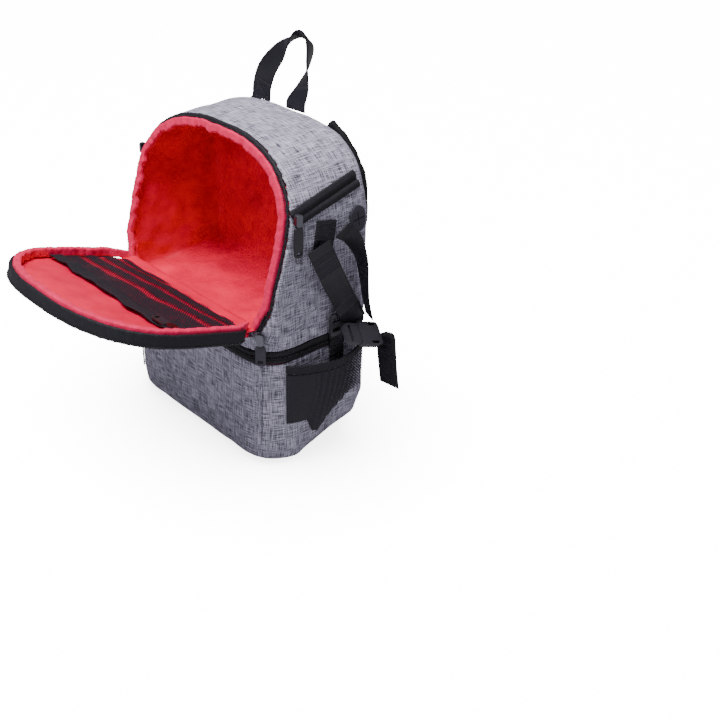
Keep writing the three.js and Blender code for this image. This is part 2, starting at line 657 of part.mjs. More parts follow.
// A flat plate with rounded corners, in the plane of its width and length, with windows cut through it.
function plate(width, length, thickness, corner, windows = []) {
  const shape = new THREE.Shape();
  const [x, y] = [width / 2, length / 2];
  shape.absarc(x - corner, y - corner, corner, 0, Math.PI / 2);
  shape.absarc(-x + corner, y - corner, corner, Math.PI / 2, Math.PI);
  shape.absarc(-x + corner, -y + corner, corner, Math.PI, 1.5 * Math.PI);
  shape.absarc(x - corner, -y + corner, corner, 1.5 * Math.PI, 2 * Math.PI);
  const extrusion = { depth: thickness, bevelEnabled: false, curveSegments: 4 };
  const body = new THREE.ExtrudeGeometry(shape, extrusion);
  return geometryOf(windows.reduce((whole, w) => whole.subtract(solid(box(
    [w.x - w.width / 2, w.x + w.width / 2],
    [w.y - w.length / 2, w.y + w.length / 2],
    [-thickness, thickness],
  ))), solid(body.translate(0, 0, -thickness / 2))));
}

// Two windows in a plate with a bar between them, for webbing to run through.
function twoBars({ width, length }) {
  const window = { x: 0, y: length * 0.22, width: width * 0.72, length: length * 0.2 };
  return [window, { ...window, y: -window.y }];
}

// A zip slider on a surface, and its pull, which hangs from the slider along the surface.
function zipSlider(name, at, out, hang, pullLength, parent = parts) {
  const basis = new THREE.Matrix4().makeBasis(out.clone().cross(hang), hang.clone().negate(), out);
  basis.setPosition(at.clone().addScaledVector(out, SLIDER.thickness / 2 + GAP));
  const body = plate(SLIDER.width, SLIDER.length, SLIDER.thickness, 3);
  const eye = { x: 0, y: 4.5 - pullLength / 2, width: 6, length: 4 };
  const pull = plate(PULL.width, pullLength, PULL.thickness, 4, [eye]);
  pull.translate(0, -(SLIDER.length + pullLength) / 2 - GAP, 0);
  const finished = [[name + '_slider', body, SLIDER_METAL], [name + '_pull', pull, WEBBING_BLACK]];
  return finished.map(([piece, geometry, finish]) => {
    const placed = outward(geometry.applyMatrix4(basis));
    place(piece, placed, finish, parent);
    return [piece, placed, finish];
  });
}

// The buckle on the side, socket and clip pushed together, and the ring that holds it to the deck.
function buckle() {
  const { width, thickness, socket, clip } = BUCKLE;
  const window = { x: width / 2 - 3, y: 4, width: 3, length: socket * 0.4 };
  const socketBody = plate(width, socket, thickness, 5, [window, { ...window, x: -window.x }]);
  const slot = { x: 0, y: -clip * 0.2, width: width * 0.7, length: 4 };
  const clipBody = plate(width * 0.86, clip, thickness * 0.7, 4, [slot]);
  socketBody.translate(0, clip / 2, 0);
  clipBody.translate(0, -socket / 2 - GAP, 0);
  for (const [name, body] of [['buckle_socket', socketBody], ['buckle_clip', clipBody]]) {
    body.rotateY(BUCKLE_PLACE.tilt).rotateX(BUCKLE_PLACE.slope);
    body.translate(HALF_WIDTH + BUCKLE_PLACE.out, BUCKLE_PLACE.y, BUCKLE_PLACE.z);
    place(name, body, PLASTIC_BLACK);
  }
  const ring = plate(TAB_RING.width, TAB_RING.length, TAB_RING.thickness, 3, twoBars(TAB_RING));
  ring.rotateX(Math.PI / 2).rotateZ(Math.PI / 2);
  place('tab_ring', ring.translate(HALF_WIDTH + TAB_RING.out, TAB_RING.y, TAB_RING.z), PLASTIC_BLACK);
}

// The ladder locks at the lower ends of the shoulder straps, and the pad and strip on the back.
function backPieces() {
  const lock = plate(LADDER.width, LADDER.length, LADDER.thickness, 3, twoBars(LADDER));
  lock.rotateX(Math.PI / 2).translate(LADDER.x, BACK_Y + LADDER.out, LADDER.z);
  bothSides('ladder_lock', lock, PLASTIC_BLACK);
  const pad = plate(2 * BACK_PAD.half, BACK_PAD.top - BACK_PAD.bottom, BACK_PAD.thickness, BACK_PAD.corner);
  pad.rotateX(Math.PI / 2);
  pad.translate(0, BACK_Y + GAP + BACK_PAD.thickness / 2, (BACK_PAD.top + BACK_PAD.bottom) / 2);
  place('back_pad', pad, PAD_BLACK);
  const half = HALF_WIDTH - BACK_CORNER - 4;
  const middle = LOWER_HEIGHT + MID_ZIP_HEIGHT / 2 + ZIP_TILT * BODY_DEPTH;
  place('back_hinge_strip', box(
    [-half, half],
    [BACK_Y + GAP, BACK_Y + GAP + STRIP_THICKNESS],
    [middle - STRIP_HEIGHT / 2, middle + STRIP_HEIGHT / 2],
  ), CANVAS_GREY);
}

// A place and an outward direction on the side of the lower deck: round the front corner, straight
// along the side, and round the back corner.
const POCKET_FRONT_ARC = FRONT_CORNER * POCKET_START_TURN;
const POCKET_STRAIGHT = BODY_DEPTH - FRONT_CORNER - BACK_CORNER;
const POCKET_LENGTH = POCKET_FRONT_ARC + POCKET_STRAIGHT + BACK_CORNER * POCKET_END_TURN;
function pocketPlan(distance) {
  const past = distance - POCKET_FRONT_ARC;
  const onFront = past < 0;
  const radius = onFront ? FRONT_CORNER : BACK_CORNER;
  const angle = onFront ? past / radius : Math.max(past - POCKET_STRAIGHT, 0) / radius;
  const out = vec(Math.cos(angle), Math.sin(angle), 0);
  const middleY = FRONT_Y + FRONT_CORNER + THREE.MathUtils.clamp(past, 0, POCKET_STRAIGHT);
  return { at: vec(HALF_WIDTH - radius, middleY, 0).addScaledVector(out, radius), out };
}

// A band of cloth on the side of the lower deck, between two heights, standing away from the deck.
function pocketBand(bottomAt, topAt, from, thickness, rows) {
  const rings = [];
  for (let i = 0; i <= POCKET_COLUMNS; i++) {
    const share = i / POCKET_COLUMNS;
    const { at, out } = pocketPlan(share * POCKET_LENGTH);
    const [low, high] = [bottomAt(share), topAt(share)];
    const full = LOWER_HEIGHT * lookup(POCKET_TOP_EDGE, share);
    const foot = LOWER_HEIGHT * lookup(POCKET_BOTTOM_EDGE, share);
    const level = (row, off) => {
      const z = THREE.MathUtils.lerp(low, high, row / rows);
      const rise = Math.max((z - foot) / (full - foot), 0);
      const bulge = POCKET_BULGE * Math.sin(Math.PI * share) ** 0.7 * rise ** 0.6;
      return at.clone().addScaledVector(out, GAP + bulge + off).setZ(z);
    };
    const ring = [];
    for (let row = 0; row <= rows; row++) ring.push(level(row, from + thickness));
    for (let row = rows; row >= 0; row--) ring.push(level(row, from));
    rings.push(ring);
  }
  return loft(rings);
}

function sidePockets() {
  const topAt = (share) => LOWER_HEIGHT * lookup(POCKET_TOP_EDGE, share);
  const bottomAt = (share) => LOWER_HEIGHT * lookup(POCKET_BOTTOM_EDGE, share);
  const edgeAt = (share) => topAt(share) - POCKET_BINDING;
  const net = pocketBand(bottomAt, (s) => edgeAt(s) - GAP, 0, POCKET_NET, POCKET_ROWS);
  bothSides('pocket_net', net, NET_BLACK);
  bothSides('pocket_binding', pocketBand(edgeAt, topAt, 0, POCKET_BINDING_THICKNESS, 1), TAPE_BLACK);
}

upperDeck();
lowerDeck();
midZip();
dividers();
doorPieces();
sidePieces();
webbingPieces();
buckle();
backPieces();
sidePockets();
zipSliders();

export default parts;
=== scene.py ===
# %% [markdown]
# # A camera backpack with its upper door open
#
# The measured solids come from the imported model. This script dresses them: heather canvas, red
# nylon lining, gathered binding, mesh nets, webbing and zips. Each step says what the real piece is
# and why it is made the way it is.

# %% Load the measured model
import math

import bmesh
import bpy
import numpy as np
from mathutils import Matrix, Vector, geometry, noise


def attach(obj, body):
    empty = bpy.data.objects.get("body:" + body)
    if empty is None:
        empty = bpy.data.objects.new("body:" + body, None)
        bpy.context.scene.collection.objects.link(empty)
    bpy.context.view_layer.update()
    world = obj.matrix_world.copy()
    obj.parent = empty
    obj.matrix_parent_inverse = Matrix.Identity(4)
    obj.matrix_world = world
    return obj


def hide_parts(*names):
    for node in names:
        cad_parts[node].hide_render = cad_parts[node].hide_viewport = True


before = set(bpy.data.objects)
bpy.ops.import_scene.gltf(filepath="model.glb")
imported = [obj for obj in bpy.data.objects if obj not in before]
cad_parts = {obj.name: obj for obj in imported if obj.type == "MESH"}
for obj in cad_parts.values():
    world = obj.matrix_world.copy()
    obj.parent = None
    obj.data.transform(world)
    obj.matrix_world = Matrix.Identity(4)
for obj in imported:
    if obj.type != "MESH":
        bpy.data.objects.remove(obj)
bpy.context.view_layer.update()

MM = 0.001
print("solids:", len(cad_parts))

# %% [markdown]
# The camera stands to the right of the bag and looks down on it. Its place and its axes were fitted
# to edges of the bag, so the frame matches without any lens shift.

# %% Camera
camera = bpy.data.objects.new("camera", bpy.data.cameras.new("camera"))
camera.data.lens = 53.94
camera.data.sensor_width = 36
axes = [(0.6760, 0.7365, 0.0244), (-0.3825, 0.3224, 0.8659), (0.6298, -0.5947, 0.4997)]
turn = Matrix(axes).transposed().to_4x4()
camera.matrix_world = Matrix.Translation(Vector((900.2, -661.3, 702.9)) * MM) @ turn
bpy.context.scene.collection.objects.link(camera)
bpy.context.scene.camera = camera

# %% [markdown]
# One function turns the hex value of a colour, as an artist reads it off a screen, into the linear
# numbers that the shaders work in. Another adds a node, sets it up and plugs it in. Every material
# below is built from these two.

# %% Colour and nodes
def tone(hex_code):
    shares = [int(hex_code[i:i + 2], 16) / 255 for i in (1, 3, 5)]
    return (*[s / 12.92 if s <= 0.04045 else ((s + 0.055) / 1.055) ** 2.4 for s in shares], 1)


def add(material, kind, inputs, **settings):
    node = material.node_tree.nodes.new(kind)
    for name, value in settings.items():
        setattr(node, name, value)
    for socket, value in inputs.items():
        if isinstance(value, bpy.types.NodeSocket):
            material.node_tree.links.new(value, node.inputs[socket])
        else:
            node.inputs[socket].default_value = value
    return node.outputs


def surface(name, roughness, **settings):
    material = bpy.data.materials.new(name)
    material.use_nodes = True
    shader = material.node_tree.nodes["Principled BSDF"]
    shader.inputs["Roughness"].default_value = roughness
    for socket, value in settings.items():
        shader.inputs[socket.replace("_", " ")].default_value = value
    return material, shader


def plug(material, output, socket):
    material.node_tree.links.new(output, socket)


# %% [markdown]
# The bag stands in a white photo studio. Most light falls from a large soft box overhead, so the top
# is bright and the sides are darker. The floor and the surround look white to the camera, but give
# the bag only a moderate fill, as a white sweep some way behind it does. The soft shadow round the
# foot of the bag is painted shadow: an ambient-occlusion node dims the floor's camera glow there.

# %% Floor and light
def white_to_camera(material, fill, glow):
    """Adds a glow that only the camera sees to a surface that lights the bag by its fill alone."""
    seen = add(material, "ShaderNodeLightPath", {})["Is Camera Ray"]
    return add(material, "ShaderNodeMapRange", {"Value": seen, "To Min": fill, "To Max": glow})["Result"]


floor_paint, floor_shader = surface("matt_white_board", 0.9)
floor_shader.inputs["Base Color"].default_value = tone("#C9C9CC")
floor_shader.inputs["Emission Color"].default_value = tone("#FFFFFF")
seen_white = white_to_camera(floor_paint, 0.0, 15.0)
# Painted shadow: an ambient-occlusion node dims the floor's camera glow near the bag, so a soft shadow
# shows round its foot.
painted_shadow_occlusion = add(floor_paint, "ShaderNodeAmbientOcclusion", {"Distance": 0.16}, samples=8)["AO"]
painted_floor_shadow = add(floor_paint, "ShaderNodeMapRange", {"Value": painted_shadow_occlusion, "From Min": 0.45,
                                                 "To Min": 0.3})["Result"]
glow = add(floor_paint, "ShaderNodeMath", {0: seen_white, 1: painted_floor_shadow}, operation="MULTIPLY")["Value"]
plug(floor_paint, glow, floor_shader.inputs["Emission Strength"])
bm = bmesh.new()
bmesh.ops.create_grid(bm, x_segments=1, y_segments=1, size=6)
floor_mesh = bpy.data.meshes.new("floor")
bm.to_mesh(floor_mesh)
bm.free()
floor_mesh.materials.append(floor_paint)
floor = bpy.data.objects.new("floor", floor_mesh)
bpy.context.scene.collection.objects.link(floor)

world = bpy.data.worlds.new("white_surround")
world.use_nodes = True
surround = world.node_tree.nodes["Background"]
surround.inputs["Color"].default_value = tone("#F7F8FF")
plug(world, white_to_camera(world, 0.27, 16.0), surround.inputs["Strength"])
bpy.context.scene.world = world


def soft_box(name, place, target, size, power):
    lamp = bpy.data.lights.new(name, "AREA")
    lamp.shape = "DISK"
    lamp.size = size
    lamp.energy = power
    box = bpy.data.objects.new(name, lamp)
    aim = (Vector(target) - Vector(place)).to_track_quat("-Z", "Y").to_matrix().to_4x4()
    box.matrix_world = Matrix.Translation(place) @ aim
    bpy.context.scene.collection.objects.link(box)


soft_box("top_box", (0.1, -0.5, 1.9), (0, 0, 0.2), 0.9, 54)
soft_box("front_box", (0.3, -2.0, 0.9), (0, 0, 0.2), 1.0, 4)

# %% [markdown]
# ## Canvas
# The outside is a heather canvas: thick and thin polyester yarns in pale lilac grey and charcoal,
# plain woven, so short light and dark streaks cross each other. Real yarns are about half a
# millimetre; here they are drawn at about one, because finer ones would vanish at this size. Two
# noises are stretched along the warp and the weft, and a chequer says which yarn is on top.

# %% Heather canvas
YARN = 0.95 * MM
STREAK = 17 * MM


def heather(name, pale, dark):
    m, shader = surface(name, 0.92)
    uv = add(m, "ShaderNodeUVMap", {}, uv_map="weave")["UV"]
    yarns = []
    for long_way in ((1 / YARN, 1 / STREAK, 1), (1 / STREAK, 1 / YARN, 1)):
        stretched = add(m, "ShaderNodeMapping", {"Vector": uv, "Scale": long_way})["Vector"]
        streaks = add(m, "ShaderNodeTexNoise", {"Vector": stretched, "Scale": 1.0, "Detail": 1.0,
                                                "Roughness": 0.6}, noise_dimensions="2D")
        yarns.append(streaks["Fac"])
    crossing = add(m, "ShaderNodeTexChecker", {"Vector": uv, "Scale": 0.7 / YARN})["Fac"]
    on_top = add(m, "ShaderNodeMix", {0: crossing, 2: yarns[0], 3: yarns[1]})["Result"]
    both = add(m, "ShaderNodeMath", {0: yarns[0], 1: yarns[1]}, operation="ADD")["Value"]
    blend = add(m, "ShaderNodeMath", {0: both, 1: on_top}, operation="ADD")["Value"]
    share = add(m, "ShaderNodeMapRange", {"Value": blend, "From Min": 1.02, "From Max": 1.9})["Result"]
    patches = add(m, "ShaderNodeTexNoise", {"Vector": uv, "Scale": 28.0, "Detail": 1.0},
                  noise_dimensions="2D")
    faded = add(m, "ShaderNodeMapRange", {"Value": patches["Fac"], "From Min": 0.3, "From Max": 0.7,
                                          "To Min": 0.9, "To Max": 1.08})["Result"]
    mixed = add(m, "ShaderNodeMath", {0: share, 1: faded}, operation="MULTIPLY", use_clamp=True)["Value"]
    colour = add(m, "ShaderNodeMix", {0: mixed, 6: tone(dark), 7: tone(pale)}, data_type="RGBA")[2]
    plug(m, colour, shader.inputs["Base Color"])
    relief = add(m, "ShaderNodeBump", {"Height": blend, "Strength": 0.5, "Distance": 0.35 * MM})["Normal"]
    plug(m, relief, shader.inputs["Normal"])
    shader.inputs["Specular IOR Level"].default_value = 0.2
    return m


canvas = heather("heather_canvas", "#C6C2D6", "#403D49")
print("canvas yarn, mm:", YARN / MM)

# %% [markdown]
# ## Lining, binding and tape
# The lining is red nylon taffeta over foam: smooth, a little glossy, and softly crumpled. The
# binding is a brushed pink nylon that hides the seams, and its nap catches light at grazing angles.
# Zip tape is black polyester herringbone, matt and finely ribbed. In all of them, and in the air mesh
# of the pads, the colour darkens in the hollows of the crumples: painted shade.

# %% Taffeta, brushed nylon and tape
def crumpled(name, colour, painted_hollow_shade, roughness, size, depth, sheen):
    m, shader = surface(name, roughness)
    place = add(m, "ShaderNodeTexCoord", {})["Object"]
    folds = add(m, "ShaderNodeTexNoise", {"Vector": place, "Scale": 1 / size, "Detail": 3.0,
                                          "Roughness": 0.5})["Fac"]
    thread = add(m, "ShaderNodeTexNoise", {"Vector": place, "Scale": 1 / (0.7 * MM), "Detail": 1.0})["Fac"]
    # The colour follows the folds and darkens where they sink: painted shade in the hollows.
    share = add(m, "ShaderNodeMapRange", {"Value": folds, "From Min": 0.3, "From Max": 0.7})["Result"]
    mixed = add(m, "ShaderNodeMix", {0: share, 6: tone(painted_hollow_shade), 7: tone(colour)}, data_type="RGBA")[2]
    plug(m, mixed, shader.inputs["Base Color"])
    fine = add(m, "ShaderNodeBump", {"Height": thread, "Strength": 0.25, "Distance": 0.15 * MM})["Normal"]
    bent = add(m, "ShaderNodeBump", {"Height": folds, "Strength": 0.8, "Distance": depth,
                                     "Normal": fine})["Normal"]
    plug(m, bent, shader.inputs["Normal"])
    shader.inputs["Sheen Weight"].default_value = sheen
    shader.inputs["Specular IOR Level"].default_value = 0.3
    return m


lining = crumpled("red_nylon_taffeta", "#F20244", "#D2023A", 0.5, 34 * MM, 2.2 * MM, 0.0)
binding = crumpled("pink_brushed_nylon", "#F00A58", "#D40648", 0.7, 7 * MM, 0.8 * MM, 0.06)
tape = crumpled("black_polyester_tape", "#1E1D25", "#15141A", 0.7, 3 * MM, 0.2 * MM, 0.0)
padding = crumpled("black_air_mesh", "#19181D", "#0F0E12", 0.85, 2.5 * MM, 0.5 * MM, 0.0)

# %% [markdown]
# ## Webbing
# Nylon webbing is woven with fine weft ribs and has a satin gloss. The ribs run across the strap, so
# they follow its own map and turn with every twist. They are drawn two millimetres apart and faint,
# because the real ones, under a millimetre, would only shimmer at this size. A wave texture of
# scale one repeats every 0.314, so that over the pitch is the scale to give it. The grooves between
# the ribs are coloured a little darker: painted shade.

# %% Nylon webbing
RIB = 2.0 * MM
WAVE = 0.314


def ribbed(name, colour, painted_hollow_shade):
    m, shader = surface(name, 0.5)
    uv = add(m, "ShaderNodeUVMap", {}, uv_map="weave")["UV"]
    ribs = add(m, "ShaderNodeTexWave", {"Vector": uv, "Scale": WAVE / RIB, "Distortion": 0.4,
                                        "Detail": 1.0}, bands_direction="Y")["Fac"]
    cords = add(m, "ShaderNodeTexWave", {"Vector": uv, "Scale": WAVE / (1.6 * RIB), "Distortion": 0.2,
                                         "Detail": 1.0}, bands_direction="X")["Fac"]
    weave = add(m, "ShaderNodeMath", {0: ribs, 1: cords}, operation="MULTIPLY")["Value"]
    # The colour darkens in the grooves between ribs and cords: painted shade.
    colour_mix = add(m, "ShaderNodeMix", {0: weave, 6: tone(painted_hollow_shade), 7: tone(colour)}, data_type="RGBA")[2]
    plug(m, colour_mix, shader.inputs["Base Color"])
    bent = add(m, "ShaderNodeBump", {"Height": weave, "Strength": 0.2, "Distance": 0.15 * MM})["Normal"]
    plug(m, bent, shader.inputs["Normal"])
    shader.inputs["Specular IOR Level"].default_value = 0.35
    return m


webbing_black = ribbed("black_nylon_webbing", "#1E1D26", "#17171E")

# %% [markdown]
# ## Nets
# The nets are knitted polyester. Their holes are cut from the sheet with the material's alpha:
# cells of a regular pattern, a hole in the middle of each. The pitch is drawn at two millimetres or
# more so that the holes show. The hole grows where the net is stretched, which lets the red behind
# it through in bands.

# %% Knitted nets
def knitted(name, pitch, hole, stretched=None):
    m, shader = surface(name, 0.6)
    uv = add(m, "ShaderNodeUVMap", {}, uv_map="weave")["UV"]
    cells = add(m, "ShaderNodeMapping", {"Vector": uv, "Rotation": (0, 0, math.radians(45)),
                                         "Scale": (1 / pitch, 1 / pitch, 1)})["Vector"]
    middle = add(m, "ShaderNodeTexVoronoi", {"Vector": cells, "Scale": 1.0, "Randomness": 0.0},
                 voronoi_dimensions="2D")["Distance"]
    size = stretched(m, uv, hole) if stretched else hole
    thread = add(m, "ShaderNodeMath", {0: middle, 1: size}, operation="GREATER_THAN")["Value"]
    plug(m, thread, shader.inputs["Alpha"])
    shader.inputs["Base Color"].default_value = tone("#24222B")
    bent = add(m, "ShaderNodeBump", {"Height": middle, "Strength": 0.6, "Distance": 0.3 * MM})["Normal"]
    plug(m, bent, shader.inputs["Normal"])
    shader.inputs["Specular IOR Level"].default_value = 0.25
    return m


def door_bands(m, uv, hole):
    wobble = add(m, "ShaderNodeTexNoise", {"Vector": uv, "Scale": 14.0, "Detail": 1.0},
                 noise_dimensions="2D")["Fac"]
    axes_of = add(m, "ShaderNodeSeparateXYZ", {"Vector": uv})
    slant = add(m, "ShaderNodeMath", {0: axes_of["X"], 1: 0.10, 2: axes_of["Y"]},
                operation="MULTIPLY_ADD")["Value"]
    across = add(m, "ShaderNodeMath", {0: wobble, 1: 0.016, 2: slant}, operation="MULTIPLY_ADD")["Value"]
    widths = []
    for middle, half in ((0.064, 0.0050), (0.040, 0.0040), (0.020, 0.0026)):
        away = add(m, "ShaderNodeMath", {0: across, 1: middle}, operation="SUBTRACT")["Value"]
        away = add(m, "ShaderNodeMath", {0: away}, operation="ABSOLUTE")["Value"]
        widths.append(add(m, "ShaderNodeMapRange", {
            "Value": away, "From Min": half * 0.6, "From Max": half * 1.3, "To Min": 0.2, "To Max": 0.0,
        })["Result"])
    bands = add(m, "ShaderNodeMath", {0: widths[0], 1: widths[1]}, operation="MAXIMUM")["Value"]
    bands = add(m, "ShaderNodeMath", {0: bands, 1: widths[2]}, operation="MAXIMUM")["Value"]
    return add(m, "ShaderNodeMath", {0: bands, 1: hole}, operation="ADD")["Value"]


door_net_knit = knitted("knitted_door_net", 2.4 * MM, 0.29, door_bands)

# %% [markdown]
# ## Hard trim
# The sliders are zinc castings plated gunmetal, the buckle and adjusters are moulded acetal with a
# slight satin grain, and the cable port is a soft dull rubber.

# %% Plated zinc, acetal and rubber
def moulded(name, colour, roughness, grain, depth, **settings):
    m, shader = surface(name, roughness, **settings)
    place = add(m, "ShaderNodeTexCoord", {})["Object"]
    specks = add(m, "ShaderNodeTexNoise", {"Vector": place, "Scale": 1 / grain, "Detail": 3.0})["Fac"]
    wear = add(m, "ShaderNodeMapRange", {"Value": specks, "From Min": 0.3, "From Max": 0.7,
                                         "To Min": roughness * 0.85, "To Max": roughness * 1.2})["Result"]
    plug(m, wear, shader.inputs["Roughness"])
    dull = add(m, "ShaderNodeMix", {0: specks, 6: tone(colour[0]), 7: tone(colour[1])}, data_type="RGBA")[2]
    plug(m, dull, shader.inputs["Base Color"])
    bent = add(m, "ShaderNodeBump", {"Height": specks, "Strength": 0.3, "Distance": depth})["Normal"]
    plug(m, bent, shader.inputs["Normal"])
    return m


zinc = moulded("gunmetal_plated_zinc", ("#55555C", "#77777F"), 0.3, 0.9 * MM, 0.03 * MM, Metallic=1.0)
acetal = moulded("moulded_acetal", ("#29282F", "#34333B"), 0.42, 0.6 * MM, 0.05 * MM, IOR=1.48)
rubber = moulded("moulded_rubber", ("#2A2833", "#33303D"), 0.7, 0.8 * MM, 0.05 * MM, IOR=1.52)
pull_black = moulded("overmoulded_pull", ("#1B1A20", "#25242B"), 0.5, 0.6 * MM, 0.04 * MM, IOR=1.5)
coil_nylon = moulded("nylon_zip_coil", ("#131318", "#1D1D23"), 0.4, 0.5 * MM, 0.03 * MM, IOR=1.53)
thread_black = moulded("bonded_thread", ("#1E1D24", "#2A2932"), 0.55, 0.4 * MM, 0.03 * MM, IOR=1.5)

# %% [markdown]
# ## Shape helpers
# A soft piece starts from a copy of its solid, with doubles merged. A voxel remesh turns it into an
# even skin with rounded edges, and then its points are moved by folds, creases and a little noise,
# the way a hand pushes clay. A finished piece is closed, sits at the origin, and rides on the bag.

# %% From a solid to an even skin
DOUBLES = 0.02 * MM


def numbers(mesh, what="vertices", field="co"):
    items = getattr(mesh, what)
    values = np.empty(len(items) * 3, np.float32)
    items.foreach_get(field, values)
    return values.reshape(-1, 3).astype(float)


def points_and_normals(mesh):
    return numbers(mesh), numbers(mesh, "vertices", "normal")


def even_skin(node, voxel, rounds=2):
    bm = bmesh.new()
    bm.from_mesh(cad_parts[node].data)
    bmesh.ops.remove_doubles(bm, verts=bm.verts, dist=DOUBLES)
    mesh = bpy.data.meshes.new(node + "_soft")
    bm.to_mesh(mesh)
    bm.free()
    rough = bpy.data.objects.new(node + "_rough", mesh)
    bpy.context.scene.collection.objects.link(rough)
    remesh = rough.modifiers.new("even", "REMESH")
    remesh.mode = "VOXEL"
    remesh.voxel_size = voxel
    seen = rough.evaluated_get(bpy.context.evaluated_depsgraph_get())
    skin = bpy.data.meshes.new_from_object(seen)
    bpy.data.objects.remove(rough)
    bm = bmesh.new()
    bm.from_mesh(skin)
    for _ in range(rounds):
        bmesh.ops.smooth_vert(bm, verts=bm.verts, factor=0.5,
                              use_axis_x=True, use_axis_y=True, use_axis_z=True)
    bm.to_mesh(skin)
    bm.free()
    return skin


def move(mesh, points):
    mesh.vertices.foreach_set("co", points.astype(np.float32).ravel())
    mesh.update()


def piece(name, mesh, material, slot, *nodes):
    mesh.name = name
    mesh.materials.clear()
    mesh.materials.append(material)
    mesh.polygons.foreach_set("use_smooth", np.ones(len(mesh.polygons), bool))
    made = bpy.data.objects.new(name, mesh)
    bpy.context.scene.collection.objects.link(made)
    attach(made, "root")
    if nodes:
        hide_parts(*nodes)
    print(name, len(mesh.polygons), "faces")
    return made


# %% [markdown]
# Zip coils and rows of stitching are both a small rounded bead repeated along a line. At this size a
# bead of twenty faces reads as one turn of a coil or as one stitch.

# %% Beads along a line
def spaced(line, pitch):
    """Even steps along a line of points, each as a frame whose x axis follows the line."""
    line = np.asarray(line, float) * MM
    reach = np.concatenate([[0], np.cumsum(np.linalg.norm(np.diff(line, axis=0), axis=1))])
    steps = np.arange(0.5 * pitch * MM, reach[-1], pitch * MM)
    spots = np.stack([np.interp(steps, reach, line[:, i]) for i in range(3)], 1)
    ways = np.gradient(spots, axis=0)
    turns = [Vector(way).to_track_quat("X", "Z").to_matrix().to_4x4() for way in ways]
    return [Matrix.Translation(Vector(spot)) @ turn for spot, turn in zip(spots, turns)]


def beads(name, lines, pitch, size, material, slot):
    shape = Matrix.Diagonal((*[s * MM / 2 for s in size], 1))
    bm = bmesh.new()
    for line in lines:
        for place in spaced(line, pitch):
            bmesh.ops.create_icosphere(bm, subdivisions=1, radius=1, matrix=place @ shape)
    mesh = bpy.data.meshes.new(name)
    bm.to_mesh(mesh)
    bm.free()
    return piece(name, mesh, material, slot)


# %% [markdown]
# Cloth shows where it is pulled: a crease is a valley with a soft ridge on either side. Each crease
# is given by its two ends, its depth and its width, and fades out towards the ends.

# %% Creases and ripples
def creased(points, normals, creases):
    push = np.zeros(len(points))
    for start, end, depth, width in creases:
        a, b = np.array(start) * MM, np.array(end) * MM
        along = (points - a) @ (b - a) / ((b - a) @ (b - a))
        nearest = a + np.clip(along, 0, 1)[:, None] * (b - a)
        away = np.linalg.norm(points - nearest, axis=1) / (width * MM)
        fade = np.sin(np.pi * np.clip(along, 0.02, 0.98)) ** 0.6
        push -= depth * MM * fade * (1 - 1.4 * away ** 2) * np.exp(-away ** 2)
    return points + normals * push[:, None]


def rippled(points, normals, size, height, seed=0):
    wave = [noise.noise(Vector(p) / size + Vector((seed, 0, 0))) for p in points]
    return points + normals * (np.array(wave) * height)[:, None]


# %% [markdown]
# The canvas needs a map in which the yarns run level and upright on every side. The cloth is
# unrolled round the outline of the piece: one direction is the distance round that outline, the
# other is the distance along it. Faces that look along the axis are mapped straight on.

# %% Unroll the weave
def weave_map(mesh, axis):
    first, second = [i for i in range(3) if i != axis]
    points = numbers(mesh)
    flat = points[:, [first, second]]
    hull = flat[geometry.convex_hull_2d([tuple(p) for p in flat])]
    middle = (hull.max(0) + hull.min(0)) / 2
    walk = np.concatenate([hull, hull[:1]])
    sides = zip(walk[:-1], walk[1:])
    steps = np.concatenate([np.linspace(a, b, 40, endpoint=False) for a, b in sides])
    reach = np.concatenate([[0], np.cumsum(np.linalg.norm(np.diff(steps, axis=0), axis=1))])
    angles = np.unwrap(np.arctan2(*(steps - middle).T[::-1]))
    if angles[-1] < angles[0]:
        angles, reach = angles[::-1], reach[::-1]
    around = reach.max() + np.linalg.norm(steps[0] - steps[-1])
    own = np.arctan2(*(flat - middle).T[::-1])
    own = (own - angles[0]) % (2 * np.pi) + angles[0]
    length = np.interp(own, angles, reach)
    corner = np.empty(len(mesh.loops), np.int32)
    mesh.loops.foreach_get("vertex_index", corner)
    counts = np.empty(len(mesh.polygons), np.int32)
    mesh.polygons.foreach_get("loop_total", counts)
    face = np.repeat(np.arange(len(counts)), counts)
    normals = numbers(mesh, "polygons", "normal")
    starts = np.concatenate([[0], np.cumsum(counts)[:-1]])
    u = length[corner]
    first_u = u[starts][face]
    u = u - np.round((u - first_u) / around) * around
    v = points[corner, axis]
    straight = np.abs(normals[:, axis])[face] > 0.75
    u = np.where(straight, points[corner, first], u)
    v = np.where(straight, points[corner, second], v)
    layer = mesh.uv_layers.new(name="weave")
    layer.data.foreach_set("uv", np.stack([u, v], 1).astype(np.float32).ravel())


# %% [markdown]
# ## The canvas body
# The upper deck is one wide gusset over the top and down the sides, with a back panel. It is
# foam-backed, so it bows out a little, puckers along the seams and creases where the webbing pulls
# on it. The lower deck bows out the same way and its base is rounded.

# %% Upper and lower canvas
side_creases = [
    ((136, -52, 235), (136, 20, 205), 1.3, 9), ((136, -50, 210), (136, 10, 178), 1.5, 8),
    ((136, -46, 186), (136, 0, 160), 1.4, 7), ((136, -30, 168), (136, 40, 152), 1.1, 6),
    ((136, 20, 215), (136, 60, 180), 1.2, 9), ((136, -64, 160), (136, -60, 290), 0.9, 6),
    ((130, -20, 318), (134, 60, 322), 0.8, 9), ((100, -40, 340), (112, 50, 338), 0.9, 12),
    ((136, -55, 270), (136, -10, 245), 1.0, 8), ((136, 45, 250), (136, 62, 210), 0.9, 7),
]


def both_hands(creases):
    return creases + [((-a[0], *a[1:]), (-b[0], *b[1:]), d, w) for a, b, d, w in creases]


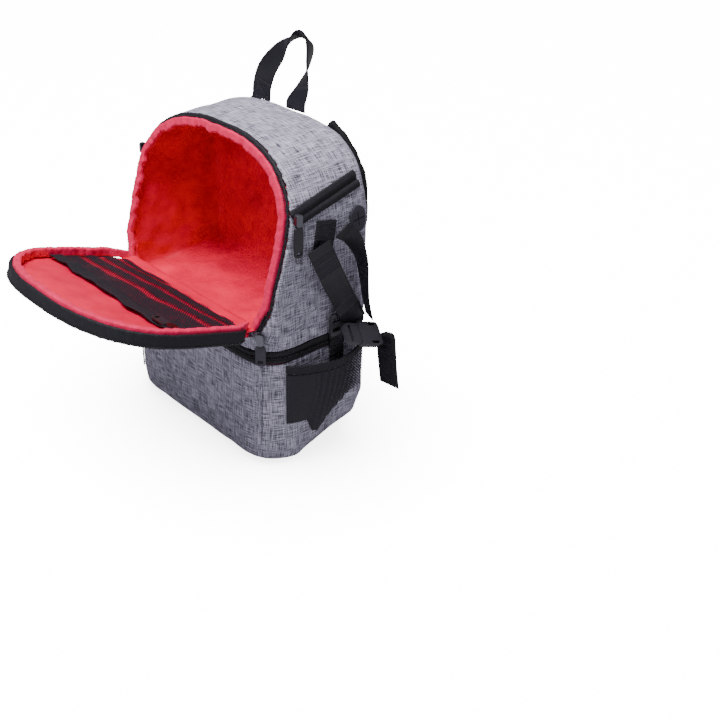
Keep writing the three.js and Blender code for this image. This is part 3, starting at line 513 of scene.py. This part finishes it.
upper = even_skin("upper_shell", 2.3 * MM)
points, normals = points_and_normals(upper)
points = creased(points, normals, both_hands(side_creases))
points = rippled(points, normals, 26 * MM, 0.9 * MM)
points = rippled(points, normals, 9 * MM, 0.25 * MM, 5)
move(upper, points)
weave_map(upper, 1)
upper_canvas = piece("upper_canvas", upper, canvas, "canvas", "upper_shell")

lower_creases = [
    ((117.7, -65.5, 128), (114.7, -67.3, 22), 1.3, 3.4),
    ((-117.7, -65.5, 128), (-114.7, -67.3, 22), 1.3, 3.4),
    ((120, -64, 60), (95, -72, 20), 1.2, 7), ((-110, -66, 70), (-90, -70, 25), 1.3, 8),
    ((-60, -74, 95), (60, -74, 100), 0.8, 14), ((135, -30, 40), (135, 30, 30), 1.0, 9),
    ((125, -50, 22), (60, -66, 12), 0.8, 7), ((-20, -74, 40), (40, -74, 55), 0.7, 14),
]
lower = even_skin("lower_shell", 2.3 * MM)
points, normals = points_and_normals(lower)
points = creased(points, normals, lower_creases)
points = rippled(points, normals, 30 * MM, 0.8 * MM, 3)
points = rippled(points, normals, 9 * MM, 0.2 * MM, 8)
points[:, 2] = np.maximum(points[:, 2], 0)
move(lower, points)
weave_map(lower, 2)
lower_canvas = piece("lower_canvas", lower, canvas, "canvas", "lower_shell")

# %% [markdown]
# ## The linings
# Inside, taffeta is quilted over foam. It is cut a little large, so it crumples between its seams:
# the solid's inner faces are rippled. The outer ones, which press on the canvas, stay smooth and are
# drawn back a little so that they don't come through it.

# %% Red linings
for node, seed, push in (("upper_lining", 1, 3.4), ("lower_lining", 4, 2.0)):
    mesh = even_skin(node, 2.8 * MM)
    points, normals = points_and_normals(mesh)
    middle = (points.max(0) + points.min(0)) / 2
    inward = np.clip(-np.sum(normals * (points - middle), axis=1) * 40, 0, 1)[:, None]
    points -= normals * (1 - inward) * 0.6 * MM
    points = rippled(points, normals * inward, 24 * MM, push * MM, seed)
    points = rippled(points, normals * inward, 11 * MM, 0.35 * push * MM, seed + 9)
    move(mesh, points)
    piece(node + "_taffeta", mesh, lining, "lining", node)

# %% [markdown]
# The dividers of the lower deck are foam boards in the same taffeta. They are remeshed and then
# inflated a little by the cloth solver, which rounds them the way foam fills a sewn cover.

# %% Foam pieces, puffed by cloth
def puffed(mesh, name, pressure, cap, frames=20):
    scene = bpy.context.scene
    soft = bpy.data.objects.new(name + "_puff", mesh)
    scene.collection.objects.link(soft)
    cloth = soft.modifiers.new("puff", "CLOTH")
    cloth.settings.use_pressure = True
    cloth.settings.uniform_pressure_force = pressure
    cloth.settings.effector_weights.gravity = 0
    start = numbers(mesh)
    for step in range(1, frames + 1):
        scene.frame_set(step)
    swollen = soft.evaluated_get(bpy.context.evaluated_depsgraph_get())
    result = bpy.data.meshes.new_from_object(swollen)
    bpy.data.objects.remove(soft)
    scene.frame_set(1)
    shift = numbers(result) - start
    far = np.linalg.norm(shift, axis=1, keepdims=True)
    move(result, start + shift * np.minimum(1, cap / np.maximum(far, 1e-9)))
    return result


for node in ("divider_long", "divider_back_left", "divider_back_right", "divider_front"):
    mesh = puffed(even_skin(node, 4 * MM, 1), node, 3, 0.2 * MM)
    piece(node + "_pad", mesh, lining, "lining", node)

# %% [markdown]
# ## Frames of the door and the front
# The zip round the opening lies in the leaning front, and the door lies open on its hinge. Both are
# easier to work on in their own frame: across, away from the hinge, and out of the cloth. The front
# leans back by as many degrees as the open door rises.

# %% Working frames
HINGE = Vector((0, -72.5, 172)) * MM
LEAN = 16
FRONT = Matrix.Translation(HINGE) @ Matrix.Rotation(math.radians(90 - LEAN), 4, "X")
DOOR = Matrix.Translation(HINGE) @ Matrix.Rotation(math.radians(180 - LEAN), 4, "X")


def local(mesh, working):
    back = np.array(working.inverted())
    return numbers(mesh) @ back[:3, :3].T + back[:3, 3]


def world_points(points, working):
    there = np.array(working)
    return points @ there[:3, :3].T + there[:3, 3]


def outline(node, working, middle):
    """The outer edge of a flat ring, as (angle, radius) about a middle point, in its own frame."""
    own = local(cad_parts[node].data, working)[:, :2] - middle
    own = own[geometry.convex_hull_2d([tuple(p) for p in own])]
    own = np.concatenate([own, own[:1]])
    sides = zip(own[:-1], own[1:])
    dense = np.concatenate([np.linspace(a, b, 30, endpoint=False) for a, b in sides])
    angle = np.arctan2(dense[:, 1], dense[:, 0])
    order = np.argsort(angle)
    return angle[order], np.linalg.norm(dense, axis=1)[order]


FRONT_MIDDLE = np.array([0, 80]) * MM
DOOR_MIDDLE = np.array([0, 60]) * MM
front_edge = outline("opening_zip_tape", FRONT, FRONT_MIDDLE)
door_edge = outline("door_zip_tape", DOOR, DOOR_MIDDLE)
door_tape_points = local(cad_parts["door_zip_tape"].data, DOOR)
print("door length, mm:", round(float(door_tape_points[:, 1].max() / MM)))

# %% [markdown]
# ## Gathered binding
# The pink binding is eased round the curve, so its free edge is too long and stands in little
# waves. The waves are strongest at the free edge and fade to nothing at the seam, and most of the
# ease is at the upper left.

# %% Pink binding of the opening and of the door
DOOR_RADIUS = 110
MOST_EASE = math.radians(140)


def gathered(node, working, middle, edge, width, swing, lift, seed):
    mesh = even_skin(node, 1.25 * MM)
    own = local(mesh, working)
    flat = own[:, :2] - middle
    radius = np.linalg.norm(flat, axis=1)
    angle = np.arctan2(flat[:, 1], flat[:, 0])
    inside = np.clip((np.interp(angle, *edge) - radius) / width, 0, 1)
    walk = angle * DOOR_RADIUS * MM
    ease = 0.55 + 0.45 * np.clip(np.cos(angle - MOST_EASE), 0, 1)
    waves = np.array([
        noise.noise(Vector((w / (15 * MM), seed, 0)))
        + 0.5 * noise.noise(Vector((w / (6 * MM), seed, 4)))
        for w in walk
    ])
    folds = np.array([
        noise.noise(Vector((w / (8 * MM), seed + 7, 0)))
        + 0.4 * noise.noise(Vector((w / (4 * MM), seed, 9)))
        for w in walk
    ])
    flat = flat * (1 - inside * ease * waves * swing / radius)[:, None]
    own[:, :2] = flat + middle
    own[:, 2] += inside * folds * lift * ease
    move(mesh, world_points(own, working))
    return mesh


mesh = gathered("opening_binding", FRONT, FRONT_MIDDLE, front_edge, 16 * MM, 5 * MM, 2.5 * MM, 2)
piece("opening_binding_gathered", mesh, binding, "binding", "opening_binding")
mesh = gathered("door_binding", DOOR, DOOR_MIDDLE, door_edge, 12 * MM, 3 * MM, 2.2 * MM, 6)
piece("door_binding_gathered", mesh, binding, "binding", "door_binding")

# %% [markdown]
# ## Zip tapes
# The tapes keep their solids' shape with softened edges. The closed zips, between the decks and on
# the upper sides, lie between two folded lips: the lips stand up and the line between them sinks in.

# %% Tapes
DECK_ZIP_Z = 137
SIDE_ZIP_Y, SIDE_ZIP_Z = 12, 300
SIDE_ZIP_TURN = math.radians(13)
for node, name, voxel, swell in (
    ("opening_zip_tape", "opening_tape", 1.2, 0.4), ("door_zip_tape", "door_tape", 1.2, 0.2),
    ("mid_zip", "deck_zip_lips", 1.5, 1.0), ("side_zip_right", "side_zip_tape_right", 0.8, 0),
    ("side_zip_left", "side_zip_tape_left", 0.8, 0), ("back_hinge_strip", "back_hinge_tape", 1.0, 0),
):
    mesh = even_skin(node, voxel * MM)
    points, normals = points_and_normals(mesh)
    points = rippled(points, normals, 14 * MM, 0.3 * MM, 11)
    push = np.full(len(points), swell * MM)
    if node == "mid_zip":
        push -= 1.4 * MM * np.exp(-((points[:, 2] - DECK_ZIP_Z * MM) / (1.6 * MM)) ** 2)
    if "side_zip" in node:
        across = ((points[:, 2] - SIDE_ZIP_Z * MM) * math.cos(SIDE_ZIP_TURN)
                  - (points[:, 1] - SIDE_ZIP_Y * MM) * math.sin(SIDE_ZIP_TURN))
        push -= 1.4 * MM * np.exp(-(across / (1.5 * MM)) ** 2)
        push += 0.8 * MM * np.exp(-((np.abs(across) - 4.5 * MM) / (2.2 * MM)) ** 2)
    move(mesh, points + normals * push[:, None])
    piece(name, mesh, tape, "zip_tape", node)

# %% [markdown]
# The coils: one half of the opened zip runs round the opening and the other round the door, and the
# closed zips show a thin line of coil between their lips. The one between the decks follows the
# rounded front corners, and the side ones follow the sides, which draw in towards the crown.

# %% Zip coils
def around(edge, middle, out, height, working, low):
    angle, radius = edge
    flat = np.stack([np.cos(angle), np.sin(angle)], 1) * (radius + out * MM)[:, None] + middle
    flat = np.roll(flat, -np.argmin(flat[:, 1] + 10 * np.abs(flat[:, 0]) * (flat[:, 1] > 0)), axis=0)
    flat = flat[flat[:, 1] > low * MM]
    own = np.column_stack([flat, np.full(len(flat), height * MM)])
    return world_points(own, working) / MM


tape_front = local(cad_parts["opening_zip_tape"].data, FRONT)[:, 2].max() / MM
beads("opening_coil", [around(front_edge, FRONT_MIDDLE, -4.2, tape_front + 0.3, FRONT, 9)],
      2.2, (1.4, 2.4, 1.6), coil_nylon, "plastic")
beads("door_coil", [around(door_edge, DOOR_MIDDLE, 0.5, 6.6, DOOR, 17)],
      2.2, (1.4, 1.6, 2.4), coil_nylon, "plastic")

CORNER_X, CORNER_Y, CORNER_R = 95, -32.5, 40.2
turns = np.radians(np.arange(0, 91, 9))
corner = [(CORNER_X + CORNER_R * math.cos(a), CORNER_Y - CORNER_R * math.sin(a), DECK_ZIP_Z)
          for a in turns]
half_round = [(135.2, 56, DECK_ZIP_Z), *corner]
beads("deck_coil", [half_round + [(-x, y, z) for x, y, z in reversed(half_round)]],
      2.4, (1.5, 1.6, 2.2), coil_nylon, "plastic")


HALF_WIDTH = 135
ARCH_START, ARCH_RISE = 258, 96


def arch_half(z):
    """Half the width of the upper deck at a height, both in millimetres."""
    return HALF_WIDTH * (1 - max(0, (z - ARCH_START) / ARCH_RISE) ** 2.5) ** 0.4


for hand, side in ((1, "right"), (-1, "left")):
    line = []
    for reach in np.linspace(-41, 41, 12):
        y = SIDE_ZIP_Y + reach * math.cos(SIDE_ZIP_TURN)
        z = SIDE_ZIP_Z + reach * math.sin(SIDE_ZIP_TURN)
        line.append((hand * (arch_half(z) + 1.9), y, z))
    beads("side_zip_coil_" + side, [line], 2.0, (1.3, 2.0, 1.6), coil_nylon, "plastic")

# %% [markdown]
# ## Door panels
# The door's canvas, its lining and the net pocket on it are flat shapes with the door's outline.
# Each starts as a grid whose rows are widened to that outline, then gets its thickness and waves.

# %% Panels of the door
def half_width(along, inset):
    """Half the width of the door at distances from the hinge."""
    angle, radius = door_edge
    edge = np.stack([np.cos(angle), np.sin(angle)], 1) * radius[:, None] + DOOR_MIDDLE
    right = edge[(edge[:, 0] > 0) & (edge[:, 1] > edge[:, 1].min() + 0.5 * MM)]
    right = right[np.argsort(right[:, 1])]
    return np.maximum(np.interp(along, right[:, 1], right[:, 0]) - inset, 0.2 * MM)


def door_panel(from_y, to_y, inset, height, columns=100, rows=90, bend=1.0):
    """A grid within the door's outline. A bend above one crowds its rows at the rounded end."""
    bm = bmesh.new()
    bmesh.ops.create_grid(bm, x_segments=columns, y_segments=rows, size=1)
    uv = bm.loops.layers.uv.new("weave")
    share = np.array([(v.co.x, v.co.y) for v in bm.verts])
    rows_at = from_y + (to_y - from_y) * (1 - (1 - (share[:, 1] + 1) / 2) ** bend)
    width = half_width(rows_at, inset)
    for vert, across, along, half in zip(bm.verts, share[:, 0], rows_at, width):
        vert.co = (across * half, along, height(across * half, along))
    for bm_face in bm.faces:
        for loop in bm_face.loops:
            loop[uv].uv = loop.vert.co.xy
    bmesh.ops.transform(bm, matrix=DOOR, verts=bm.verts)
    return bm


def thick(bm, depth):
    bmesh.ops.solidify(bm, geom=bm.faces[:], thickness=depth)
    mesh = bpy.data.meshes.new("panel")
    bm.to_mesh(mesh)
    bm.free()
    return mesh


DOOR_LONG = float(local(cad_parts["door_lining"].data, DOOR)[:, 1].max())
DOOR_SEAM = 3.6 * MM
ROUND_END = 1.6


def lining_swell(x, y):
    rise = noise.noise(Vector((x, y, 0)) / (30 * MM)) + 0.5 * noise.noise(Vector((x, y, 0.3)) / (13 * MM))
    edge = min(1, (DOOR_LONG - y) / (20 * MM))
    return (0.9 - 1.3 * rise * edge) * MM


def canvas_swell(x, y):
    return (7.6 + 0.8 * noise.noise(Vector((x, y, 5)) / (30 * MM))) * MM


bm = door_panel(8 * MM, DOOR_LONG, DOOR_SEAM, lining_swell, bend=ROUND_END)
mesh = thick(bm, -4 * MM)
piece("door_lining_taffeta", mesh, lining, "lining", "door_lining")

bm = door_panel(-1.2 * MM, DOOR_LONG, DOOR_SEAM, canvas_swell, bend=ROUND_END)
mesh = thick(bm, 2.0 * MM)
piece("door_canvas_panel", mesh, canvas, "canvas", "door_canvas")


# %% [markdown]
# A strip of the same taffeta joins the two linings. It starts under the end of the door lining, rolls
# over the sill and ends inside. Its profile is given in millimetres, from the door inwards.

# %% Lining over the sill
sill = np.array([
    (-85, 175.2), (-80, 174.4), (-75.5, 174.0), (-71, 173.9), (-67, 172.4), (-64.6, 168), (-63.6, 160),
])
bm = bmesh.new()
bmesh.ops.create_grid(bm, x_segments=90, y_segments=24, size=1)
reach = float(half_width(np.array([8 * MM]), 3 * MM)[0])
for vert in bm.verts:
    spot = (1 - vert.co.y) / 2 * (len(sill) - 1)
    y = float(np.interp(spot, range(len(sill)), sill[:, 0]))
    z = float(np.interp(spot, range(len(sill)), sill[:, 1]))
    soft = 0.9 * noise.noise(Vector((vert.co.x * reach, y * MM, 1)) / (16 * MM))
    vert.co = (vert.co.x * reach, y * MM, (z + soft) * MM)
for _ in range(2):
    bmesh.ops.smooth_vert(bm, verts=bm.verts, factor=0.5, use_axis_y=True, use_axis_z=True)
mesh = thick(bm, 1.2 * MM)
piece("sill_lining_taffeta", mesh, lining, "lining")

# %% [markdown]
# ## Net pocket on the door
# The net is stretched flat near the hinge and looser towards its free edge. There a zip with its two
# tapes closes it. The tapes are a little longer than the net, so the whole band waves.

# %% Door net and its zip
NET_INSET = 13 * MM
NET_LONG = 90 * MM
NET_ZIP = (88.5 * MM, 104 * MM)


def net_waves(x, y):
    free = max(0, (y - 15 * MM) / (75 * MM))
    wave = noise.noise(Vector((x / (26 * MM), y / (50 * MM), 2)))
    return -(0.9 + 2.2 * free * (0.5 + wave)) * MM


bm = door_panel(9 * MM, NET_LONG, NET_INSET, net_waves)
mesh = thick(bm, 0.35 * MM)
net = piece("door_net_knit", mesh, door_net_knit, "net", "door_net")


def band_waves(x, y):
    return (net_waves(x, NET_LONG) - 1.0 * MM) + 2.6 * MM * noise.noise(Vector((x / (19 * MM), 7, 0)))


def band_sway(x):
    return 4.5 * MM * noise.noise(Vector((x / (26 * MM), 3, 3)))


bm = door_panel(*NET_ZIP, NET_INSET, band_waves, columns=140, rows=14)
for vert in bm.verts:
    vert.co += (DOOR.to_3x3() @ Vector((0, band_sway(vert.co.x), 0)))
mesh = thick(bm, 1.1 * MM)
piece("door_net_zip_tapes", mesh, tape, "zip_tape", "door_net_zip")
end = float(half_width(np.array([96 * MM]), 14 * MM)[0])
flat_lines = [[
    tuple(DOOR @ Vector((x, along * MM + band_sway(x), band_waves(x, 0) - 0.5 * MM)) / MM)
    for x in np.linspace(-end, end, 160)
] for along in (92.6, 96.6, 100.6)]
beads("door_net_coil", flat_lines[1:2], 2.0, (1.3, 2.6, 1.5), coil_nylon, "plastic")
beads("door_net_stitches", [flat_lines[0], flat_lines[2]], 3.2, (2.1, 0.6, 0.6), thread_black, "webbing")

# %% [markdown]
# ## Webbing straps
# Each strap is one flat band swept along its path. A flat stadium section is extruded step by step
# with a frame that follows the path and the way across it, so twists come out as on real webbing.

# %% Sweep webbing along a path
def smooth_path(rows, samples):
    keys = np.array(rows, float)
    count = len(keys)
    ghost = np.concatenate([[2 * keys[0] - keys[1]], keys, [2 * keys[-1] - keys[-2]]])
    result = []
    for i in range(samples + 1):
        spot = min(i / samples * (count - 1), count - 1 - 1e-6)
        k, t = int(spot), spot - int(spot)
        p0, p1, p2, p3 = ghost[k:k + 4]
        result.append(0.5 * (2 * p1 + (p2 - p0) * t + (2 * p0 - 5 * p1 + 4 * p2 - p3) * t ** 2
                             + (3 * p1 - p0 - 3 * p2 + p3) * t ** 3))
    return np.array(result)


def frames_along(rows, origin, samples):
    line = smooth_path(rows, samples)
    places, ways = (line[:, :3] + origin) * MM, line[:, 3:]
    tangents = np.gradient(places, axis=0)
    result = []
    for place, tangent, way in zip(places, tangents, ways):
        along = Vector(tangent).normalized()
        through = Vector(way).cross(along).normalized()
        across = along.cross(through)
        turned = Matrix((across, through, along)).transposed().to_4x4()
        result.append(Matrix.Translation(Vector(place)) @ turned)
    return result


def band(rows, origin, width, thickness, samples=60):
    steps = frames_along(rows, origin, samples)
    bm = bmesh.new()
    uv = bm.loops.layers.uv.new("weave")
    bmesh.ops.create_circle(bm, cap_ends=True, radius=1, segments=16)
    half, r = width / 2, thickness / 2
    for vert in bm.verts:
        a = math.atan2(vert.co.y, vert.co.x) + math.radians(5)
        vert.co = (math.copysign(half - r, math.cos(a)) + r * math.cos(a), r * math.sin(a), 0)
    across = {v: v.co.x for v in bm.verts}
    walked = {v: 0.0 for v in bm.verts}
    bmesh.ops.transform(bm, matrix=steps[0], verts=bm.verts)
    end, length = bm.faces[:], 0.0
    for before, after in zip(steps[:-1], steps[1:]):
        length += (after.translation - before.translation).length
        new = bmesh.ops.extrude_face_region(bm, geom=end)["geom"]
        end = [g for g in new if isinstance(g, bmesh.types.BMFace)]
        verts = [g for g in new if isinstance(g, bmesh.types.BMVert)]
        bmesh.ops.transform(bm, matrix=after @ before.inverted(), verts=verts)
        flat = {v: (after.inverted() @ v.co).x for v in verts}
        across.update(flat)
        walked.update({v: length for v in verts})
    bmesh.ops.recalc_face_normals(bm, faces=bm.faces)
    for bm_face in bm.faces:
        for loop in bm_face.loops:
            loop[uv].uv = (across[loop.vert], walked[loop.vert])
    mesh = bpy.data.meshes.new("band")
    bm.to_mesh(mesh)
    bm.free()
    return mesh


# %% [markdown]
# The paths are points along the middle of each strap, in millimetres, each with the direction across
# the webbing there. As in the solid model, they are measured from the crown of the back, from the
# right-hand side, or from the back.

# %% Straps
CROWN, SIDE, REAR = (0, 72.5, 354), (135, 0, 0), (0, 72.5, 0)
HANDLE = [
    (-38, -9.5, -0.2, 1, 0, 0), (-38, -7.5, 16, 1, 0, 0), (-33, -3.5, 34, 1, 0, 0.03),
    (-22, 4.5, 52, 0.98, -0.1, 0.15), (-9, 12, 66, 0.85, -0.35, 0.4), (3, 17.5, 72, 0.62, -0.6, 0.5),
    (11, 19.5, 62, 0.55, -0.75, 0.2), (14, 13.5, 43, 0.65, -0.72, 0), (17, 3.5, 24, 0.9, -0.4, 0),
    (20, -7.5, 10, 1, -0.05, 0), (20.5, -9, 0.4, 1, 0, 0),
]
STRAP_FRONT = [
    (7, -7, 256, 0.1, 0.86, 0.5), (10, -1, 240, 0.12, 0.86, 0.5), (13, 8, 218, 0.12, 0.87, 0.48),
    (13, 25, 186, 0.08, 0.93, 0.35), (9, 45, 154, 0, 0.96, -0.25),
]
STRAP_BACK = [
    (6, 25, 266, 0.1, 0.35, 0.93), (11, 35, 256, 0.5, 0.25, 0.8), (12.5, 47, 230, 0.95, 0, 0.2),
    (12.5, 52, 203, 0.95, -0.25, 0.05), (13, 55, 180, 0.93, -0.35, 0.05), (14, 60, 158, 0.93, -0.35, 0),
]
STRAP_TAIL = [
    (21, 67.7, 135.2, 0.8, 0.2, 0.5), (21.5, 76.5, 131, 0.9, 0.15, 0.35),
    (21.5, 80.5, 115, 0.98, 0.1, 0.15), (21, 84, 92, 0.99, 0.08, 0.1),
    (21, 88.7, 62.5, 0.99, 0.08, 0.1),
]
STRAP_TAB = [
    (0.6, 9.2, 278.6, 0, 0.978, -0.208), (1.4, 5.5, 261, 0, 0.978, -0.208),
    (1.8, 1.8, 243.4, 0, 0.978, -0.208),
]
LOWER_TAB = [(1.6, 24, 108, 0, 1, 0), (1.6, 24, 138, 0, 1, 0), (3.6, 21, 152, 0, 1, 0)]
SHOULDER_WEBBING = [
    (67, 13, 142, 1, 0, -0.1), (68, 9.5, 110, 1, 0, 0.05), (76, 4.5, 80, 0.97, 0, 0.22),
    (84, 1.5, 58, 0.97, 0, 0.24),
]
left_webbing = [(-x, y, z, ax, ay, -az) for x, y, z, ax, ay, az in SHOULDER_WEBBING]
for name, node, rows, origin, width, thickness in (
    ("top_handle", "handle", HANDLE, CROWN, 31, 2.0),
    ("strap_front_band", "side_strap_front", STRAP_FRONT, SIDE, 28, 1.6),
    ("strap_back_band", "side_strap_back", STRAP_BACK, SIDE, 20, 1.6),
    ("strap_tail_band", "strap_tail", STRAP_TAIL, SIDE, 28, 1.6),
    ("lower_tab_band", "lower_tab", LOWER_TAB, SIDE, 20, 1.6),
    ("strap_tab_band", "strap_tab", STRAP_TAB, SIDE, 27, 2.0),
    ("shoulder_band_right", "shoulder_webbing_right", SHOULDER_WEBBING, REAR, 28, 1.6),
    ("shoulder_band_left", "shoulder_webbing_left", left_webbing, REAR, 28, 1.6),
):
    piece(name, band(rows, origin, width * MM, thickness * MM), webbing_black, "webbing", node)

# %% [markdown]
# The lower front and its side panels meet in an upright seam near each corner. The allowance inside
# is turned to one side, so the seam stands up as a low fold of canvas.

# %% Upright seams of the lower deck
for hand, side in ((1, "right"), (-1, "left")):
    seam = [(hand * x, y, z, 0.84, hand * 0.54, 0) for x, y, z in (
        (117.9, -65.9, 126), (117.0, -66.4, 100), (115.6, -67.4, 60), (114.6, -68.0, 28),
    )]
    piece("corner_seam_" + side, band(seam, (0, 0, 0), 4.2 * MM, 1.8 * MM), canvas, "canvas")

# %% [markdown]
# Webbing is sewn down with a box of lock stitches crossed by an X, on both of its faces. Each box is
# given by its distance out of the middle of the webbing, its two ends along it and its half width.

# %% Box stitches
def stitch_box(rows, origin, out, start, finish, half):
    steps = frames_along(rows, origin, 60)
    walked = np.concatenate([[0], np.cumsum([
        (b.translation - a.translation).length / MM for a, b in zip(steps[:-1], steps[1:])
    ])])
    corners = [(-half, start), (half, start), (half, finish), (-half, finish)]
    sides = list(zip(corners, corners[1:] + corners[:1]))
    sides += [(corners[0], corners[2]), (corners[1], corners[3])]
    lines = []
    for (across, along), (across_end, along_end) in sides:
        line = []
        for share in np.linspace(0, 1, 14):
            near = steps[int(np.argmin(np.abs(walked - (along + share * (along_end - along)))))]
            shift = Vector(((across + share * (across_end - across)) * MM, out * MM, 0))
            line.append(tuple((near @ shift) / MM))
        lines.append(line)
    return lines


stitches = []
for rows, origin, out, start, finish, half in (
    (STRAP_TAB, SIDE, 1.1, 3, 32, 11), (HANDLE, CROWN, 1.1, 3, 20, 12),
    (LOWER_TAB, SIDE, 0.9, 4, 26, 7),
):
    for face_side in (out, -out):
        stitches += stitch_box(rows, origin, face_side, start, finish, half)
beads("strap_stitches", stitches, 2.8, (2.0, 0.7, 0.7), thread_black, "webbing")

# %% [markdown]
# ## Back
# The shoulder straps and the back pad are foam in an air-mesh cover, so they are puffed by the cloth
# solver too. The cap keeps them within a millimetre of their solids.

# %% Shoulder straps and back pad
for node, name in (
    ("shoulder_strap_right", "shoulder_pad_right"), ("shoulder_strap_left", "shoulder_pad_left"),
    ("back_pad", "back_cushion"),
):
    mesh = puffed(even_skin(node, 3.2 * MM, 1), node, 3, 1.0 * MM)
    cushion = piece(name, mesh, padding, "pad", node)
    finer = cushion.modifiers.new("round", "SUBSURF")
    finer.levels = finer.render_levels = 1

# %% [markdown]
# ## Side pockets
# Each side pocket is a flat piece of dense gauze in front and a gathered open mesh behind, under an
# elastic binding. The gathers hang straight down from the elastic, so the folds are upright waves
# that fade towards the front.

# %% Pocket nets and elastic
def pocket_holes(m, uv, hole):
    place = add(m, "ShaderNodeSeparateXYZ", {"Vector": uv})["X"]
    return add(m, "ShaderNodeMapRange", {"Value": place, "From Min": 0.02, "From Max": 0.055,
                                         "To Min": 0.12, "To Max": hole})["Result"]


def gather_share(points):
    """From 0 on the flat gauze in front to 1 on the gathered mesh behind."""
    return np.clip((points[:, 1] + 18 * MM) / (10 * MM), 0, 1)


pocket_knit = knitted("knitted_pocket_net", 2.6 * MM, 0.5, pocket_holes)
for hand in (1, -1):
    side = "right" if hand > 0 else "left"
    mesh = even_skin("pocket_net_" + side, 0.9 * MM)
    points, normals = points_and_normals(mesh)
    height = np.clip((points[:, 2] - 35 * MM) / (80 * MM), 0, 1)
    phase = points[:, 1] / (8.5 * MM) + 0.5 * np.sin(points[:, 2] / (23 * MM))
    folds = gather_share(points) * (0.4 + 0.6 * height) * np.sin(2 * np.pi * phase) * 1.1 * MM
    points[:, 0] += hand * folds
    move(mesh, points)
    layer = mesh.uv_layers.new(name="weave")
    corner = np.empty(len(mesh.loops), np.int32)
    mesh.loops.foreach_get("vertex_index", corner)
    layer.data.foreach_set("uv", points[corner][:, [1, 2]].astype(np.float32).ravel())
    pocket = piece("pocket_net_knit_" + side, mesh, pocket_knit, "net", "pocket_net_" + side)
    mesh = even_skin("pocket_binding_" + side, 0.9 * MM)
    points, normals = points_and_normals(mesh)
    puckers = np.sin(2 * np.pi * points[:, 1] / (6 * MM)) * 0.25 * MM * gather_share(points)
    move(mesh, points + normals * puckers[:, None])
    piece("pocket_elastic_" + side, mesh, tape, "binding", "pocket_binding_" + side)

# %% [markdown]
# ## Hard pieces
# The measured shapes of the hardware are right, so they stay, with their own finishes and a fine
# rounded edge from a weld and a bevel.

# %% Finishes of the hardware
finishes = {
    "opening_slider": zinc, "door_net_slider": zinc,
    "side_zip_right_slider": zinc, "side_zip_left_slider": zinc,
    "opening_pull": rubber, "door_net_pull": pull_black,
    "side_zip_right_pull": pull_black, "side_zip_left_pull": pull_black,
    "port": rubber, "tab_ring": acetal, "buckle_socket": acetal, "buckle_clip": acetal,
    "ladder_lock_right": acetal, "ladder_lock_left": acetal,
}
for node, material in finishes.items():
    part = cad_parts[node]
    for place in part.material_slots:
        place.material = material
    weld = part.modifiers.new("weld", "WELD")
    weld.merge_threshold = DOUBLES
    edge = part.modifiers.new("edge", "BEVEL")
    edge.width = 0.35 * MM
    edge.segments = 2
    edge.limit_method = "ANGLE"
    edge.angle_limit = math.radians(35)

# %% [markdown]
# Each side pull ends in a bent wire loop, plated like the slider. It is one wire swept round a U
# whose ends go into the foot of the pull.

# %% Wire loops
for hand, side in ((1, "right"), (-1, "left")):
    pull = numbers(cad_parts["side_zip_" + side + "_pull"].data) / MM
    x, y, z = pull[pull[:, 2] < pull[:, 2].min() + 3].mean(0)
    loop = [(x, y + a, z + b, 1, 0, 0) for a, b in (
        (-3, 1), (-3.4, -3), (-2.4, -6.4), (0, -7.6), (2.4, -6.4), (3.4, -3), (3, 1),
    )]
    piece("pull_loop_" + side, band(loop, (0, 0, 0), 1.5 * MM, 1.3 * MM, 30), zinc, "metal")
